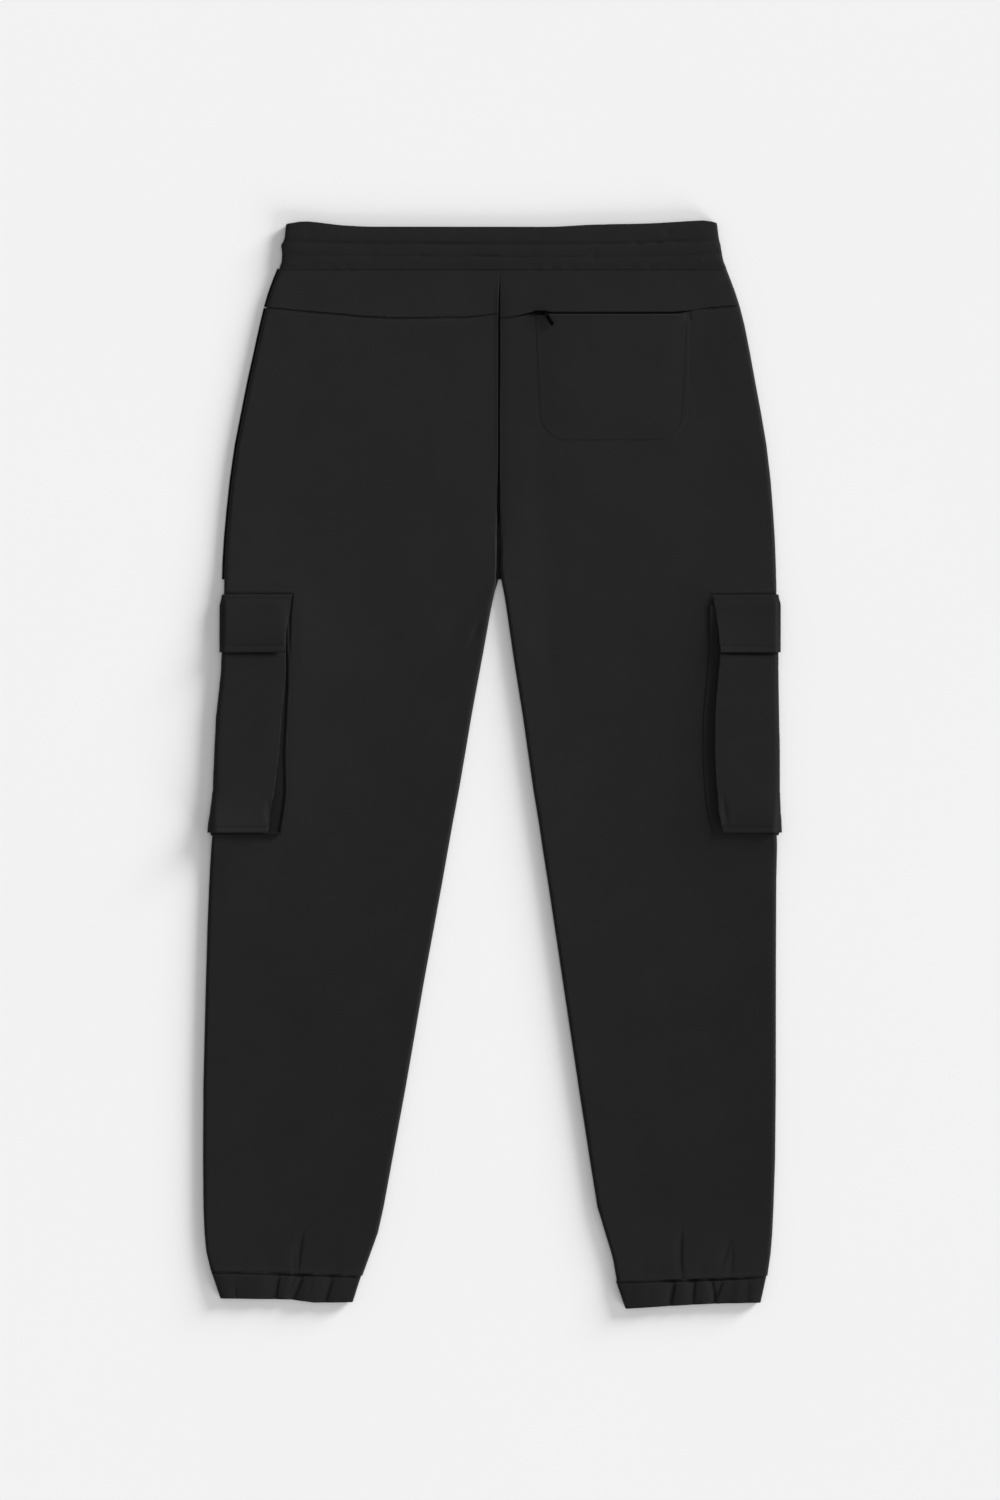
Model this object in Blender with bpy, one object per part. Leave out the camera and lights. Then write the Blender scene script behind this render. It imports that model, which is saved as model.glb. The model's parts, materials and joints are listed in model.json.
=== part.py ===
"""Cuffed cargo sweatpants, laid out flat on their front with the back uppermost.

Metres, +Z up. The waist points to +Y and the cuffs to -Y, and the wearer's left leg lies at -X.
Sizes in this file are in millimetres, and each mesh turns its points into metres. Every piece is
worked out from the top of the centre-back seam: x goes across from that seam, and drop goes down
from the waistband's top edge, so y is -drop. A parent empty then moves the whole garment so that the
middle of its footprint lies on the origin.

Each cut-and-sewn piece is its own closed solid. What lies on a leg is made from the leg's own
surface, moved outward.
"""
import math
from collections import namedtuple

import bmesh
import bpy
from mathutils import Vector

MM = 0.001
SHARP_EDGE = math.radians(50)

# Cloth
FLEECE = 2.0
POCKET_CLOTH = 1.6
TAPE_CLOTH = 0.8
CUFF_WALL = 3.0
WAIST_WALL = 4.2
SEAM_GAP = 0.3
LAYER_GAP = 0.5

# A laid leg is a flattened tube with rolled edges
EDGE_RADIUS = 5.0
EDGE_LEVEL = 3.8
EDGE_CREST = 7.6
EDGE_SLOPE = 30.0
LOWEST_TOP = 4.6
HIGHEST_TOP = 7.7
ROLL_ANGLES = (0, 30, 60, 90)
EDGE_GIRTH = math.pi / 2 * math.sqrt((EDGE_RADIUS ** 2 + EDGE_LEVEL ** 2) / 2)

# Drops down the garment
WAISTBAND_SEAM = 44.0
YOKE_SEAM = 88.0
YOKE_FADE = 60.0
GROOVE_START = 245.0
CROTCH = 329.0
CUFF_SEAM = 1000.0
CUFF_FADE = 45.0

LegSection = namedtuple("LegSection", "drop left_side left_inseam right_side right_inseam")
LEG_SECTIONS = [LegSection(*row) for row in (
    (44, 209, 0, 214.5, 0),
    (66, 217.5, 0, 223, 0),
    (89, 224, 0, 230, 0),
    (112, 229, 0, 235, 0),
    (150, 237.5, 0, 242, 0),
    (188, 245, 0, 249, 0),
    (226, 252, 0, 255, 0),
    (264, 256.5, 0, 258.5, 0),
    (302, 260, 0, 261, 0),
    (329, 261.5, 0, 262, 0),
    (359, 262, 6.6, 262.5, 4.7),
    (416, 262.5, 17, 262.5, 13),
    (473, 268, 27.5, 263.3, 22),
    (530, 270.5, 37, 264, 30),
    (575, 272, 45.4, 262.2, 37.3),
    (587, 273.5, 47.5, 263, 39),
    (635, 276.5, 56, 262.3, 46.5),
    (692, 278.5, 66.5, 262, 55),
    (749, 280, 77, 262, 63.6),
    (806, 281.5, 86.5, 262, 72),
    (863, 282, 97, 261.5, 81),
    (910, 282, 105.5, 261, 88),
    (939, 281.5, 111, 259.5, 93),
    (961, 280.5, 116, 258.5, 100),
    (984, 278, 124.5, 256.5, 107),
    (996, 274.5, 129, 254.6, 109.5),
    (1008, 273.5, 132.5, 253, 111),
)]

HeightSection = namedtuple("HeightSection", "drop middle")
MIDDLE_HEIGHTS = [HeightSection(*row) for row in (
    (40, 7.6),
    (60, 7.0),
    (88, 6.6),
    (125, 6.0),
    (180, 5.5),
    (930, 5.5),
    (980, 6.6),
    (1010, 7.6),
)]

# Broad soft folds of the laid cloth, as straight runs that fade out all round
Fold = namedtuple("Fold", "x_start drop_start x_end drop_end reach rise")
FOLDS = [Fold(*row) for row in (
    (38, 250, 46, 455, 30, -0.8),
    (92, 256, 108, 470, 38, 1.2),
    (180, 250, 185, 330, 40, 0.7),
    (-60, 230, -96, 520, 40, 1.0),
    (-150, 300, -178, 620, 42, -0.5),
    (-120, 640, -190, 900, 44, 1.1),
    (120, 640, 168, 900, 40, 1.0),
    (210, 660, 205, 880, 34, -0.5),
)]

# Where each seam runs across the garment
SeamPoint = namedtuple("SeamPoint", "across drop")
LEFT_YOKE_SEAM = [SeamPoint(*row) for row in (
    (0, 87), (36, 90.6), (106, 91), (154, 87.4), (189, 84.6), (222, 81.5), (232, 80.6))]
RIGHT_YOKE_SEAM = [SeamPoint(*row) for row in (
    (0, 91), (8, 91), (22, 87.9), (32, 86.3), (172, 86.3), (195, 82.2), (226, 80.1), (236, 79.6))]
LEFT_CUFF_SEAM = [SeamPoint(*row) for row in ((120, 1001.1), (200, 997.8), (280, 996.1))]
RIGHT_CUFF_SEAM = [SeamPoint(*row) for row in ((100, 1006.4), (260, 1000.6))]

# Columns across a leg panel: from the side edge, evenly in between, and from the inseam
SIDE_COLUMNS = (16, 30, 45, 60, 78, 96)
INSEAM_COLUMNS = (33, 14)
BACK_MIDDLES = (0.25, 0.5, 0.75)
FRONT_MIDDLES = (0.5,)

CARGO_DROPS = (364, 376, 392, 409, 424, 440, 470, 505, 540, 560, 572)
BACK_DROPS = (YOKE_SEAM, 104, 125, 150, 180, 212, GROOVE_START, 275, 300, 318, CROTCH, 340, 354,
              *CARGO_DROPS, 580, 592, 606, 626, 670, 740, 820, 890, 935, 960, 980, CUFF_SEAM)
FRONT_DROPS = (WAISTBAND_SEAM + SEAM_GAP, 88, 150, 212, GROOVE_START, 275, 300, 318, CROTCH, 340, 354,
               *CARGO_DROPS, 580, 592, 606, 626, 720, 820, 890, 935, 960, 980, CUFF_SEAM)
YOKE_STEPS = (0, 0.33, 0.67, 1)

# Waistband: a folded elastic ring, with two rows of stitching that make three channels
WaistSection = namedtuple("WaistSection", "drop left right")
WAIST_SECTIONS = [WaistSection(*row) for row in (
    (0, 203, 206), (6, 204.5, 207), (16, 204.5, 208), (21, 208, 209.5), (28, 207, 210.5),
    (38, 207.5, 212.5), (44, 209.5, 215))]
WAIST_EDGE = [SeamPoint(*row) for row in (
    (-204, 2.5), (-186, 0), (-148, 3.8), (-120, 5), (42, 5.2), (90, 3), (137, 2), (175, 0), (194, -1),
    (208, 2))]
WAIST_HEIGHT = 9.8
WAIST_LEVEL = 4.9
WAIST_STITCH_DROPS = (20.0, 32.0)
WAIST_STITCH_DEPTH = 1.3
WAIST_STITCH_REACH = 3.0
WAIST_RIM_DROP = 1.0
WAIST_COLUMNS = 48
WAIST_UNDER_EVERY = 4
WAIST_GATHER_LENGTH = 17.5
WAIST_GATHER_SWELL = 195.0
WAIST_GATHER_REACH = 9.0
WAIST_GATHER_RISE = 0.35

# Cuffs: a gathered ring; each row of the tables is one ridge or trough of its upper half
Gather = namedtuple("Gather", "x_top x_bottom rise")
LEFT_GATHERS = [Gather(*row) for row in (
    (-262, -255, 0.3), (-251, -247, -0.6), (-240, -238, 0.3), (-224, -228, 0.5), (-209, -213, -1.3),
    (-199, -206, 0.6), (-187, -197, -1.5), (-177, -188, 0.6), (-167, -176, 0.1), (-158, -167, -1.3),
    (-149, -158, 0.4), (-141, -149, -0.3))]
RIGHT_GATHERS = [Gather(*row) for row in (
    (119, 127, -0.3), (134, 139, 0.4), (150, 150, 0.1), (165, 160, -1.3), (174, 171, 0.5),
    (185, 183, -1.5), (193, 193, 0.6), (201, 203, -1.3), (208, 209, 0.4), (218, 216, -1.0),
    (227, 226, 0.5), (236, 234, -0.7), (243, 240, 0.3))]
CuffSection = namedtuple("CuffSection", "side_top side_bottom inseam_top inseam_bottom")
LEFT_CUFF = CuffSection(274.3, 265.5, 131.7, 139.6)
RIGHT_CUFF = CuffSection(253, 247.5, 110, 119)
CUFF_HEIGHT = 8.6
CUFF_LEVEL = 4.3
CUFF_RADIUS = 4.0
CUFF_RIM_DROP = 0.7
LEFT_HEM = [SeamPoint(*row) for row in ((-275, 1022), (-200, 1023), (-175, 1026), (-130, 1025.5))]
RIGHT_HEM = [SeamPoint(*row) for row in ((108, 1032.5), (122, 1031.7), (165, 1029), (205, 1027), (255, 1026))]
CUFF_STEPS = (0, 0.12, 0.5, 0.88, 1)
CUFF_UNDER_COLUMNS = 7

# Cargo pockets: a face that wraps round the leg's side edge, on a gusset, under a flap
FLAP_TOP = 354.0
FLAP_BOTTOM = 409.0
FACE_TOP = 364.0
FACE_BOTTOM = 580.0
FACE_STAND = 3.8
FACE_REST = 0.4
FACE_RIM = 6.0
FACE_SAG = 36.0
UNDER_REACH = 58.0
RUN_OUT = 36.0
FLAP_RUN_OUT = 25.0
GUSSET_TUCK = 4.0
GUSSET_RISE = 1.2
GUSSET_UNDER_SPREAD = 3.0
GUSSET_HEM_SPREAD = 2.5
GUSSET_STEPS = (0, 0.5, 1)
WRAP_COLUMNS = (0.2, 0.4545, 0.727, 1.0)
FLAP_DROPS = (FLAP_TOP, 359, 364, 376, 392, FLAP_BOTTOM)
CargoSection = namedtuple("CargoSection", "drop left_reach right_reach left_spread right_spread")
CARGO_SECTIONS = [CargoSection(*row) for row in (
    (364, 59, 54, 3, 9),
    (412, 59.4, 54, 3.6, 10),
    (440, 60.5, 57, 5, 10),
    (470, 60.8, 59.5, 6.6, 10.5),
    (505, 60, 60.4, 7.5, 11),
    (540, 57, 58.2, 12.5, 11),
    (563, 53, 55, 14.5, 10),
    (580, 52.5, 51, 13, 9),
)]
FlapSection = namedtuple("FlapSection", "drop left_reach right_reach")
FLAP_SECTIONS = [FlapSection(*row) for row in ((354, 65, 61), (380, 61, 56.5), (409, 57, 53.5))]

# Zipped pocket on the right hip
ZIP_LEFT = 33.0
ZIP_RIGHT = 170.0
ZIP_DROP = 86.3
SLIT_HALF = 1.1
TAPE_HALF = 8.0
TAPE_OVERRUN = 7.0
POCKET_LEFT = 33.5
POCKET_RIGHT = 180.0
POCKET_TAPER = 4.5
POCKET_BOTTOM = 208.0
POCKET_CORNER = 27.0
POCKET_EDGE_GAP = 1.2
POCKET_DROPS = (104, 125, 150)
POCKET_COLUMNS = (0, 0.12, 0.3, 0.5, 0.7, 0.88, 1)
CORNER_STEPS = 5
TAPE_STEPS = 4

SLIDER_LEFT = 33.0
SLIDER_RIGHT = 44.2
SLIDER_HALF = 1.5
SLIDER_CHAMFER = 0.4
SLIDER_BOTTOM = 7.1
SLIDER_TOP = 8.7
KEEL_HALF = 0.6
KEEL_BOTTOM = 4.7
PIVOT_X = 42.6
PIVOT_HEIGHT = 9.6
BAIL_INNER = 0.95
BAIL_OUTER = 1.4
BAIL_HALF = 0.6
BAIL_FOOT = 0.3
BAIL_STEPS = 8
PULL_HEADING = Vector((0.52, -0.854, 0)).normalized()
PULL_ACROSS = Vector((-PULL_HEADING.y, PULL_HEADING.x, 0))
PULL_LENGTH = 14.2
PULL_HALF = 1.8
PULL_HALF_THICKNESS = 0.5
PULL_EYE_END = 3.0
PULL_EYE_HALF = 0.9


# ---------------------------------------------------------------- curves and surfaces

def ramp(value):
    """A soft step from 0 to 1."""
    value = min(1.0, max(0.0, value))
    return value * value * (3 - 2 * value)


def lerp(start, end, share):
    return start + (end - start) * share


def smooth_curve(rows, key, column):
    """A smooth curve through one column of a table, that never overshoots its rows."""
    xs = [getattr(row, key) for row in rows]
    ys = [getattr(row, column) for row in rows]
    slopes = [(ys[i + 1] - ys[i]) / (xs[i + 1] - xs[i]) for i in range(len(xs) - 1)]
    tangents = [slopes[0]]
    for before, after in zip(slopes, slopes[1:]):
        together = before * after > 0
        tangents.append(2 * before * after / (before + after) if together else 0.0)
    tangents.append(slopes[-1])

    def value(at):
        at = min(xs[-1], max(xs[0], at))
        i = max(k for k in range(len(xs) - 1) if xs[k] <= at)
        step = xs[i + 1] - xs[i]
        t = (at - xs[i]) / step
        return ((1 + 2 * t) * (1 - t) ** 2 * ys[i] + t * (1 - t) ** 2 * step * tangents[i]
                + t * t * (3 - 2 * t) * ys[i + 1] + t * t * (t - 1) * step * tangents[i + 1])
    return value


class Leg:
    """One leg's outline and the reach of its cargo pocket; distances grow outward from the middle seam."""

    def __init__(self, name, sign, yoke_seam, cuff_seam):
        self.name = name
        self.sign = sign
        self.side = smooth_curve(LEG_SECTIONS, "drop", name + "_side")
        self.inseam = smooth_curve(LEG_SECTIONS, "drop", name + "_inseam")
        self.yoke_seam = smooth_curve(yoke_seam, "across", "drop")
        self.cuff_seam = smooth_curve(cuff_seam, "across", "drop")
        self.face_reach = smooth_curve(CARGO_SECTIONS, "drop", name + "_reach")
        self.gusset_spread = smooth_curve(CARGO_SECTIONS, "drop", name + "_spread")
        self.flap_reach = smooth_curve(FLAP_SECTIONS, "drop", name + "_reach")


LEFT = Leg("left", -1, LEFT_YOKE_SEAM, LEFT_CUFF_SEAM)
RIGHT = Leg("right", 1, RIGHT_YOKE_SEAM, RIGHT_CUFF_SEAM)
middle_height = smooth_curve(MIDDLE_HEIGHTS, "drop", "middle")


def rolled(drop):
    """How far the inner edge is rolled: a flat seam above, a groove, then a full edge from the crotch."""
    return ramp((drop - GROOVE_START) / (CROTCH - GROOVE_START))


def fold_rise(fold, x, drop):
    run = Vector((fold.x_end - fold.x_start, fold.drop_end - fold.drop_start))
    away = Vector((x - fold.x_start, drop - fold.drop_start))
    share = min(1.0, max(0.0, away.dot(run) / run.length_squared))
    distance = (away - run * share).length
    return fold.rise * ramp(1 - distance / fold.reach)


def top_height(leg, across, drop):
    """The upper surface above the floor where nothing lifts it."""
    middle = middle_height(drop)
    at_side = ramp(1 - (leg.side(drop) - across - EDGE_RADIUS) / EDGE_SLOPE)
    at_inseam = ramp(1 - (across - leg.inseam(drop) - EDGE_RADIUS) / EDGE_SLOPE) * rolled(drop)
    edge = max(at_side, at_inseam)
    height = lerp(middle, EDGE_CREST, edge)
    height += sum(fold_rise(fold, leg.sign * across, drop) for fold in FOLDS) * (1 - edge)
    return min(HIGHEST_TOP, max(LOWEST_TOP, height))


def girth(inset):
    """Distance round the edge from its outermost line to a point this far in on the flat."""
    return EDGE_GIRTH + inset - EDGE_RADIUS


def face_stand(leg, along, drop):
    """How far a cargo pocket's face stands off its leg: on its gusset at the rim, resting inside it.

    along is the distance round the leg from its side edge, negative underneath.
    """
    reach = girth(leg.face_reach(drop) if along > 0 else UNDER_REACH)
    inside = min(reach - abs(along), FACE_BOTTOM - drop)
    return lerp(FACE_STAND, FACE_REST, ramp((inside - FACE_RIM) / (FACE_SAG - FACE_RIM)))


def flap_stand(leg, along, drop):
    over_face = face_stand(leg, along, drop) + POCKET_CLOTH + LAYER_GAP
    return lerp(SEAM_GAP, over_face, ramp((drop - FLAP_TOP) / (FACE_TOP - FLAP_TOP)))


def lift(leg, along, drop):
    """How far the half of the cargo pocket that lies underneath raises its leg."""
    under = -min(abs(along), girth(UNDER_REACH))
    if drop < FACE_TOP:
        flap = flap_stand(leg, under, max(drop, FLAP_TOP)) + POCKET_CLOTH
        raised = flap * ramp(1 - (FLAP_TOP - drop) / RUN_OUT)
    else:
        flap = (LAYER_GAP + POCKET_CLOTH) * ramp(1 - (drop - FLAP_BOTTOM) / FLAP_RUN_OUT)
        face = face_stand(leg, under, min(drop, FACE_BOTTOM)) + POCKET_CLOTH
        raised = (face + flap) * ramp(1 - (drop - FACE_BOTTOM) / RUN_OUT)
    return raised * ramp(1 - (abs(along) - girth(UNDER_REACH)) / RUN_OUT)


def skin(leg, along, drop, stand):
    """A point this far off the leg's outer surface, going round its side edge."""
    angle = math.radians(90 * min(1.0, abs(along) / EDGE_GIRTH))
    inset = EDGE_RADIUS * (1 - math.cos(angle)) + max(0.0, abs(along) - EDGE_GIRTH)
    across = leg.side(drop) - inset
    flat = top_height(leg, across, drop) if along > 0 else 0.0
    outward = 1 if along > 0 else -1
    z = lerp(EDGE_LEVEL, flat, math.sin(angle)) + outward * stand * math.sin(angle) + lift(leg, along, drop)
    return Vector((leg.sign * (across + stand * math.cos(angle)), -drop, z))


# ---------------------------------------------------------------- solids

def grey_material(name, tone, roughness=0.95, metallic=0.0):
    material = bpy.data.materials.new(name)
    material.use_nodes = True
    shader = material.node_tree.nodes["Principled BSDF"]
    shader.inputs["Base Color"].default_value = (tone, tone, tone, 1)
    shader.inputs["Roughness"].default_value = roughness
    shader.inputs["Metallic"].default_value = metallic
    material.diffuse_color = (tone, tone, tone, 1)
    return material


def finish_object(name, mesh_data, parent, material, location=Vector((0, 0, 0))):
    bmesh.ops.recalc_face_normals(mesh_data, faces=mesh_data.faces)
    mesh = bpy.data.meshes.new(name)
    mesh_data.to_mesh(mesh)
    mesh_data.free()
    mesh.materials.append(material)
    mesh.shade_smooth()
    mesh.set_sharp_from_angle(angle=SHARP_EDGE)
    piece = bpy.data.objects.new(name, mesh)
    bpy.context.collection.objects.link(piece)
    piece.parent = parent
    piece.location = location * MM
    return piece


def solid(name, outer, inner, parent, material, ring=False):
    """A closed wall between two grids of points in rows; the columns of a ring close on themselves."""
    mesh_data = bmesh.new()
    layers = [[[mesh_data.verts.new(point * MM) for point in row] for row in grid] for grid in (outer, inner)]
    for grid in layers:
        for upper, lower in zip(grid, grid[1:]):
            for a, b in column_pairs(len(upper), ring):
                mesh_data.faces.new((upper[a], upper[b], lower[b], lower[a]))
    for row in (0, -1):
        out, back = layers[0][row], layers[1][row]
        for a, b in column_pairs(len(out), ring):
            mesh_data.faces.new((out[a], out[b], back[b], back[a]))
    if not ring:
        for column in (0, -1):
            out, back = ([row[column] for row in grid] for grid in layers)
            for a, b in column_pairs(len(out), False):
                mesh_data.faces.new((out[a], out[b], back[b], back[a]))
    return finish_object(name, mesh_data, parent, material)


def column_pairs(count, ring):
    pairs = [(a, a + 1) for a in range(count - 1)]
    return pairs + [(count - 1, 0)] if ring else pairs


# ---------------------------------------------------------------- leg panels and yokes

Station = namedtuple("Station", "edge angle inset share")


def rolled_station(edge, angle):
    return Station(edge, angle, EDGE_RADIUS * (1 - math.cos(math.radians(angle))), 0)


def leg_stations(middles):
    """The columns of a leg panel, from the side edge to the inner edge."""
    side = [rolled_station("side", angle) for angle in ROLL_ANGLES]
    side += [Station("side", 90, inset, 0) for inset in SIDE_COLUMNS]
    between = [Station("between", 90, 0, share) for share in middles]
    inner = [Station("inseam", 90, inset, 0) for inset in INSEAM_COLUMNS]
    inner += [rolled_station("inseam", angle) for angle in reversed(ROLL_ANGLES)]
    return side + between + inner


def station_across(leg, station, drop):
    if station.edge == "side":
        return leg.side(drop) - station.inset
    if station.edge == "inseam":
        return leg.inseam(drop) + station.inset
    return lerp(leg.side(drop) - SIDE_COLUMNS[-1], leg.inseam(drop) + INSEAM_COLUMNS[0], station.share)


def leg_point(leg, station, drop, depth, upper):
    """A point of a leg's wall, at a depth below its outer surface."""
    across = station_across(leg, station, drop)
    angle = math.radians(station.angle)
    roll = rolled(drop) if station.edge == "inseam" else 1.0
    along = EDGE_GIRTH * station.angle / 90 if station.edge == "side" and station.angle < 90 \
        else girth(leg.side(drop) - across)
    flat = top_height(leg, across, drop) - depth if upper else depth
    z = lerp(EDGE_LEVEL, flat, 1 - roll * (1 - math.sin(angle)))
    z += (SEAM_GAP if upper else -SEAM_GAP) / 2 * roll * math.cos(angle)
    inward = roll * depth * math.cos(angle)
    if station.edge == "side":
        across -= inward
    elif station.edge == "inseam":
        across += inward + SEAM_GAP / 2
    return Vector((leg.sign * across, -drop, z + lift(leg, along, drop)))


def slit_half(leg, across):
    """Half the gap between yoke and back panel: open over the zip, closed elsewhere."""
    in_zip = leg is RIGHT and ZIP_LEFT - SLIT_HALF < across < ZIP_RIGHT + SLIT_HALF
    return SLIT_HALF if in_zip else SEAM_GAP / 2


def bent_row(leg, across, drop, has_yoke):
    """Bend a panel's rows so that its top follows the yoke seam and its end follows the cuff seam."""
    if has_yoke:
        top = leg.yoke_seam(across) + slit_half(leg, across) - YOKE_SEAM
        drop += top * ramp(1 - (drop - YOKE_SEAM) / YOKE_FADE)
    end = leg.cuff_seam(across) - SEAM_GAP / 2 - CUFF_SEAM
    return drop + end * ramp(1 - (CUFF_SEAM - drop) / CUFF_FADE)


def leg_panel(name, leg, parent, material, upper):
    stations = leg_stations(BACK_MIDDLES if upper else FRONT_MIDDLES)
    grids = []
    for depth in (0.0, FLEECE):
        rows = []
        for drop in BACK_DROPS if upper else FRONT_DROPS:
            bent = [bent_row(leg, station_across(leg, station, drop), drop, upper) for station in stations]
            rows.append([leg_point(leg, station, at, depth, upper) for station, at in zip(stations, bent)])
        grids.append(rows)
    return solid(name, *grids, parent, material)


def yoke(name, leg, parent, material):
    stations = leg_stations(BACK_MIDDLES)
    grids = []
    for depth in (0.0, FLEECE):
        rows = []
        for step in YOKE_STEPS:
            row = []
            for station in stations:
                across = station_across(leg, station, YOKE_SEAM)
                end = leg.yoke_seam(across) - slit_half(leg, across)
                drop = lerp(WAISTBAND_SEAM + SEAM_GAP, end, step)
                row.append(leg_point(leg, station, drop, depth, True))
            rows.append(row)
        grids.append(rows)
    return solid(name, *grids, parent, material)


# ---------------------------------------------------------------- waistband and cuffs

BandStation = namedtuple("BandStation", "end angle share upper")


def band_stations(upper_shares, lower_shares):
    """Once round a flattened ring: its upper half from left to right, then back underneath."""
    rise = [BandStation("left", angle, 0, True) for angle in ROLL_ANGLES]
    over = [BandStation("flat", 90, share, True) for share in upper_shares]
    fall = [BandStation("right", angle, 0, True) for angle in reversed(ROLL_ANGLES)]
    under = [BandStation("right", angle, 0, False) for angle in ROLL_ANGLES[1:]]
    under += [BandStation("flat", 90, share, False) for share in reversed(lower_shares)]
    under += [BandStation("left", angle, 0, False) for angle in reversed(ROLL_ANGLES[1:])]
    return rise + over + fall + under


def band_point(station, left, right, level, top, depth, radius):
    """A point of a ring's cross-section between two x; depth is how far inside its outer surface."""
    angle = math.radians(station.angle)
    inset = depth * math.cos(angle) + radius * (1 - math.cos(angle))
    if station.end == "left":
        x = left + inset
    elif station.end == "right":
        x = right - inset
    else:
        x = lerp(left + radius, right - radius, station.share)
    flat = top - depth if station.upper else depth
    return x, lerp(level, flat, math.sin(angle))


def waist_puff(drop, x):
    """Rise of the waistband between its rows of stitching, with shallow gathers at the rows."""
    near = min(abs(drop - row) for row in (*WAIST_STITCH_DROPS, WAISTBAND_SEAM))
    groove = ramp(1 - near / WAIST_STITCH_REACH)
    wave = math.sin(math.tau * x / WAIST_GATHER_LENGTH) * math.sin(math.tau * x / WAIST_GATHER_SWELL)
    return -WAIST_STITCH_DEPTH * groove + WAIST_GATHER_RISE * wave * ramp(1 - near / WAIST_GATHER_REACH)


def waistband(parent, material):
    edge = smooth_curve(WAIST_EDGE, "across", "drop")
    left = smooth_curve(WAIST_SECTIONS, "drop", "left")
    right = smooth_curve(WAIST_SECTIONS, "drop", "right")
    shares = [(k + 1) / (WAIST_COLUMNS + 1) for k in range(WAIST_COLUMNS)]
    stations = band_stations(shares, shares[1::WAIST_UNDER_EVERY])
    beside = WAIST_STITCH_REACH / 2
    drops = [0.0, beside]
    for row in WAIST_STITCH_DROPS:
        drops += [row - 4 * beside, row - beside, row, row + beside]
    drops += [WAISTBAND_SEAM - 4 * beside, WAISTBAND_SEAM - beside, WAISTBAND_SEAM]

    def ring(nominal, depth):
        points = []
        for station in stations:
            start, end = -left(nominal), right(nominal)
            x, _ = band_point(station, start, end, WAIST_LEVEL, WAIST_HEIGHT, depth, EDGE_RADIUS)
            drop = lerp(edge(x), WAISTBAND_SEAM, nominal / WAISTBAND_SEAM)
            rim = WAIST_RIM_DROP if nominal == 0 else 0.0
            top = WAIST_HEIGHT + (waist_puff(nominal, x) - rim if depth == 0 else 0.0)
            x, z = band_point(station, start, end, WAIST_LEVEL, top, depth, EDGE_RADIUS)
            points.append(Vector((x, -drop, z)))
        return points
    outer = [ring(drop, 0.0) for drop in drops]
    inner = [ring(drop, WAIST_WALL) for drop in (drops[0], drops[-1])]
    return solid("waistband", outer, inner, parent, material, ring=True)


def cuff(name, leg, section, gathers, hem_rows, parent, material):
    hem = smooth_curve(hem_rows, "across", "drop")
    under = [(k + 1) / (CUFF_UNDER_COLUMNS + 1) for k in range(CUFF_UNDER_COLUMNS)]
    stations = band_stations([0.0] * len(gathers), under)
    first = len(ROLL_ANGLES)

    def ring(step, depth):
        side = lerp(section.side_top, section.side_bottom, step)
        inseam = lerp(section.inseam_top, section.inseam_bottom, step)
        start, end = sorted((leg.sign * side, leg.sign * inseam))
        points = []
        for index, station in enumerate(stations):
            gather = gathers[index - first] if station.end == "flat" and station.upper else None
            rise = gather.rise if gather and depth == 0 else 0.0
            rim = CUFF_RIM_DROP if step in (0, 1) and depth == 0 else 0.0
            x, z = band_point(station, start, end, CUFF_LEVEL, CUFF_HEIGHT + rise - rim, depth, CUFF_RADIUS)
            if gather:
                x = lerp(gather.x_top, gather.x_bottom, step)
            drop = lerp(leg.cuff_seam(abs(x)) + SEAM_GAP / 2, hem(x), step)
            points.append(Vector((x, -drop, z)))
        return points
    outer = [ring(step, 0.0) for step in CUFF_STEPS]
    inner = [ring(step, CUFF_WALL) for step in (0, 1)]
    return solid(name, outer, inner, parent, material, ring=True)


# ---------------------------------------------------------------- cargo pockets

def wrap_stations(upper_reach, under_reach):
    """Distances round the leg's side edge, from one side edge of a pocket piece to the other."""
    flats = [EDGE_GIRTH + share * (upper_reach - EDGE_GIRTH) for share in WRAP_COLUMNS]
    folds = [EDGE_GIRTH * angle / 90 for angle in ROLL_ANGLES]
    under = [EDGE_GIRTH + share * (under_reach - EDGE_GIRTH) for share in WRAP_COLUMNS]
    return [-along for along in reversed(under)] + [-along for along in reversed(folds[1:])] + folds + flats


def wrapped_piece(name, leg, drops, reach, stand, parent, material):
    """A pocket piece that wraps round the leg's side edge, standing off the leg as stand says."""
    def row(drop, thickness):
        stations = wrap_stations(girth(reach(drop)), girth(UNDER_REACH))
        return [skin(leg, along, drop, stand(leg, along, drop) + thickness) for along in stations]
    grids = [[row(drop, thickness) for drop in drops] for thickness in (POCKET_CLOTH, 0.0)]
    return solid(name + "_" + leg.name, *grids, parent, material)


def gusset_path(leg):
    """The gusset's seam on the leg and its edge under the face, both as (along, drop), round three sides."""
    seam, tuck = [], []
    for drop in CARGO_DROPS[:-1]:
        reach = girth(leg.face_reach(drop))
        seam.append((reach + leg.gusset_spread(drop), drop))
        tuck.append((reach - GUSSET_TUCK, drop))
    reach = girth(leg.face_reach(FACE_BOTTOM))
    hem, tucked_hem = FACE_BOTTOM + GUSSET_HEM_SPREAD, FACE_BOTTOM - GUSSET_TUCK
    seam.append((reach + leg.gusset_spread(FACE_BOTTOM), hem))
    tuck.append((reach - GUSSET_TUCK, tucked_hem))
    for along in reversed(wrap_stations(reach, girth(UNDER_REACH))[1:-1]):
        seam.append((along, hem))
        tuck.append((along, tucked_hem))
    under = girth(UNDER_REACH)
    seam.append((-under - GUSSET_UNDER_SPREAD, hem))
    tuck.append((-under + GUSSET_TUCK, tucked_hem))
    for drop in reversed(CARGO_DROPS[:-1]):
        seam.append((-under - GUSSET_UNDER_SPREAD, drop))
        tuck.append((-under + GUSSET_TUCK, drop))
    return seam, tuck


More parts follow.
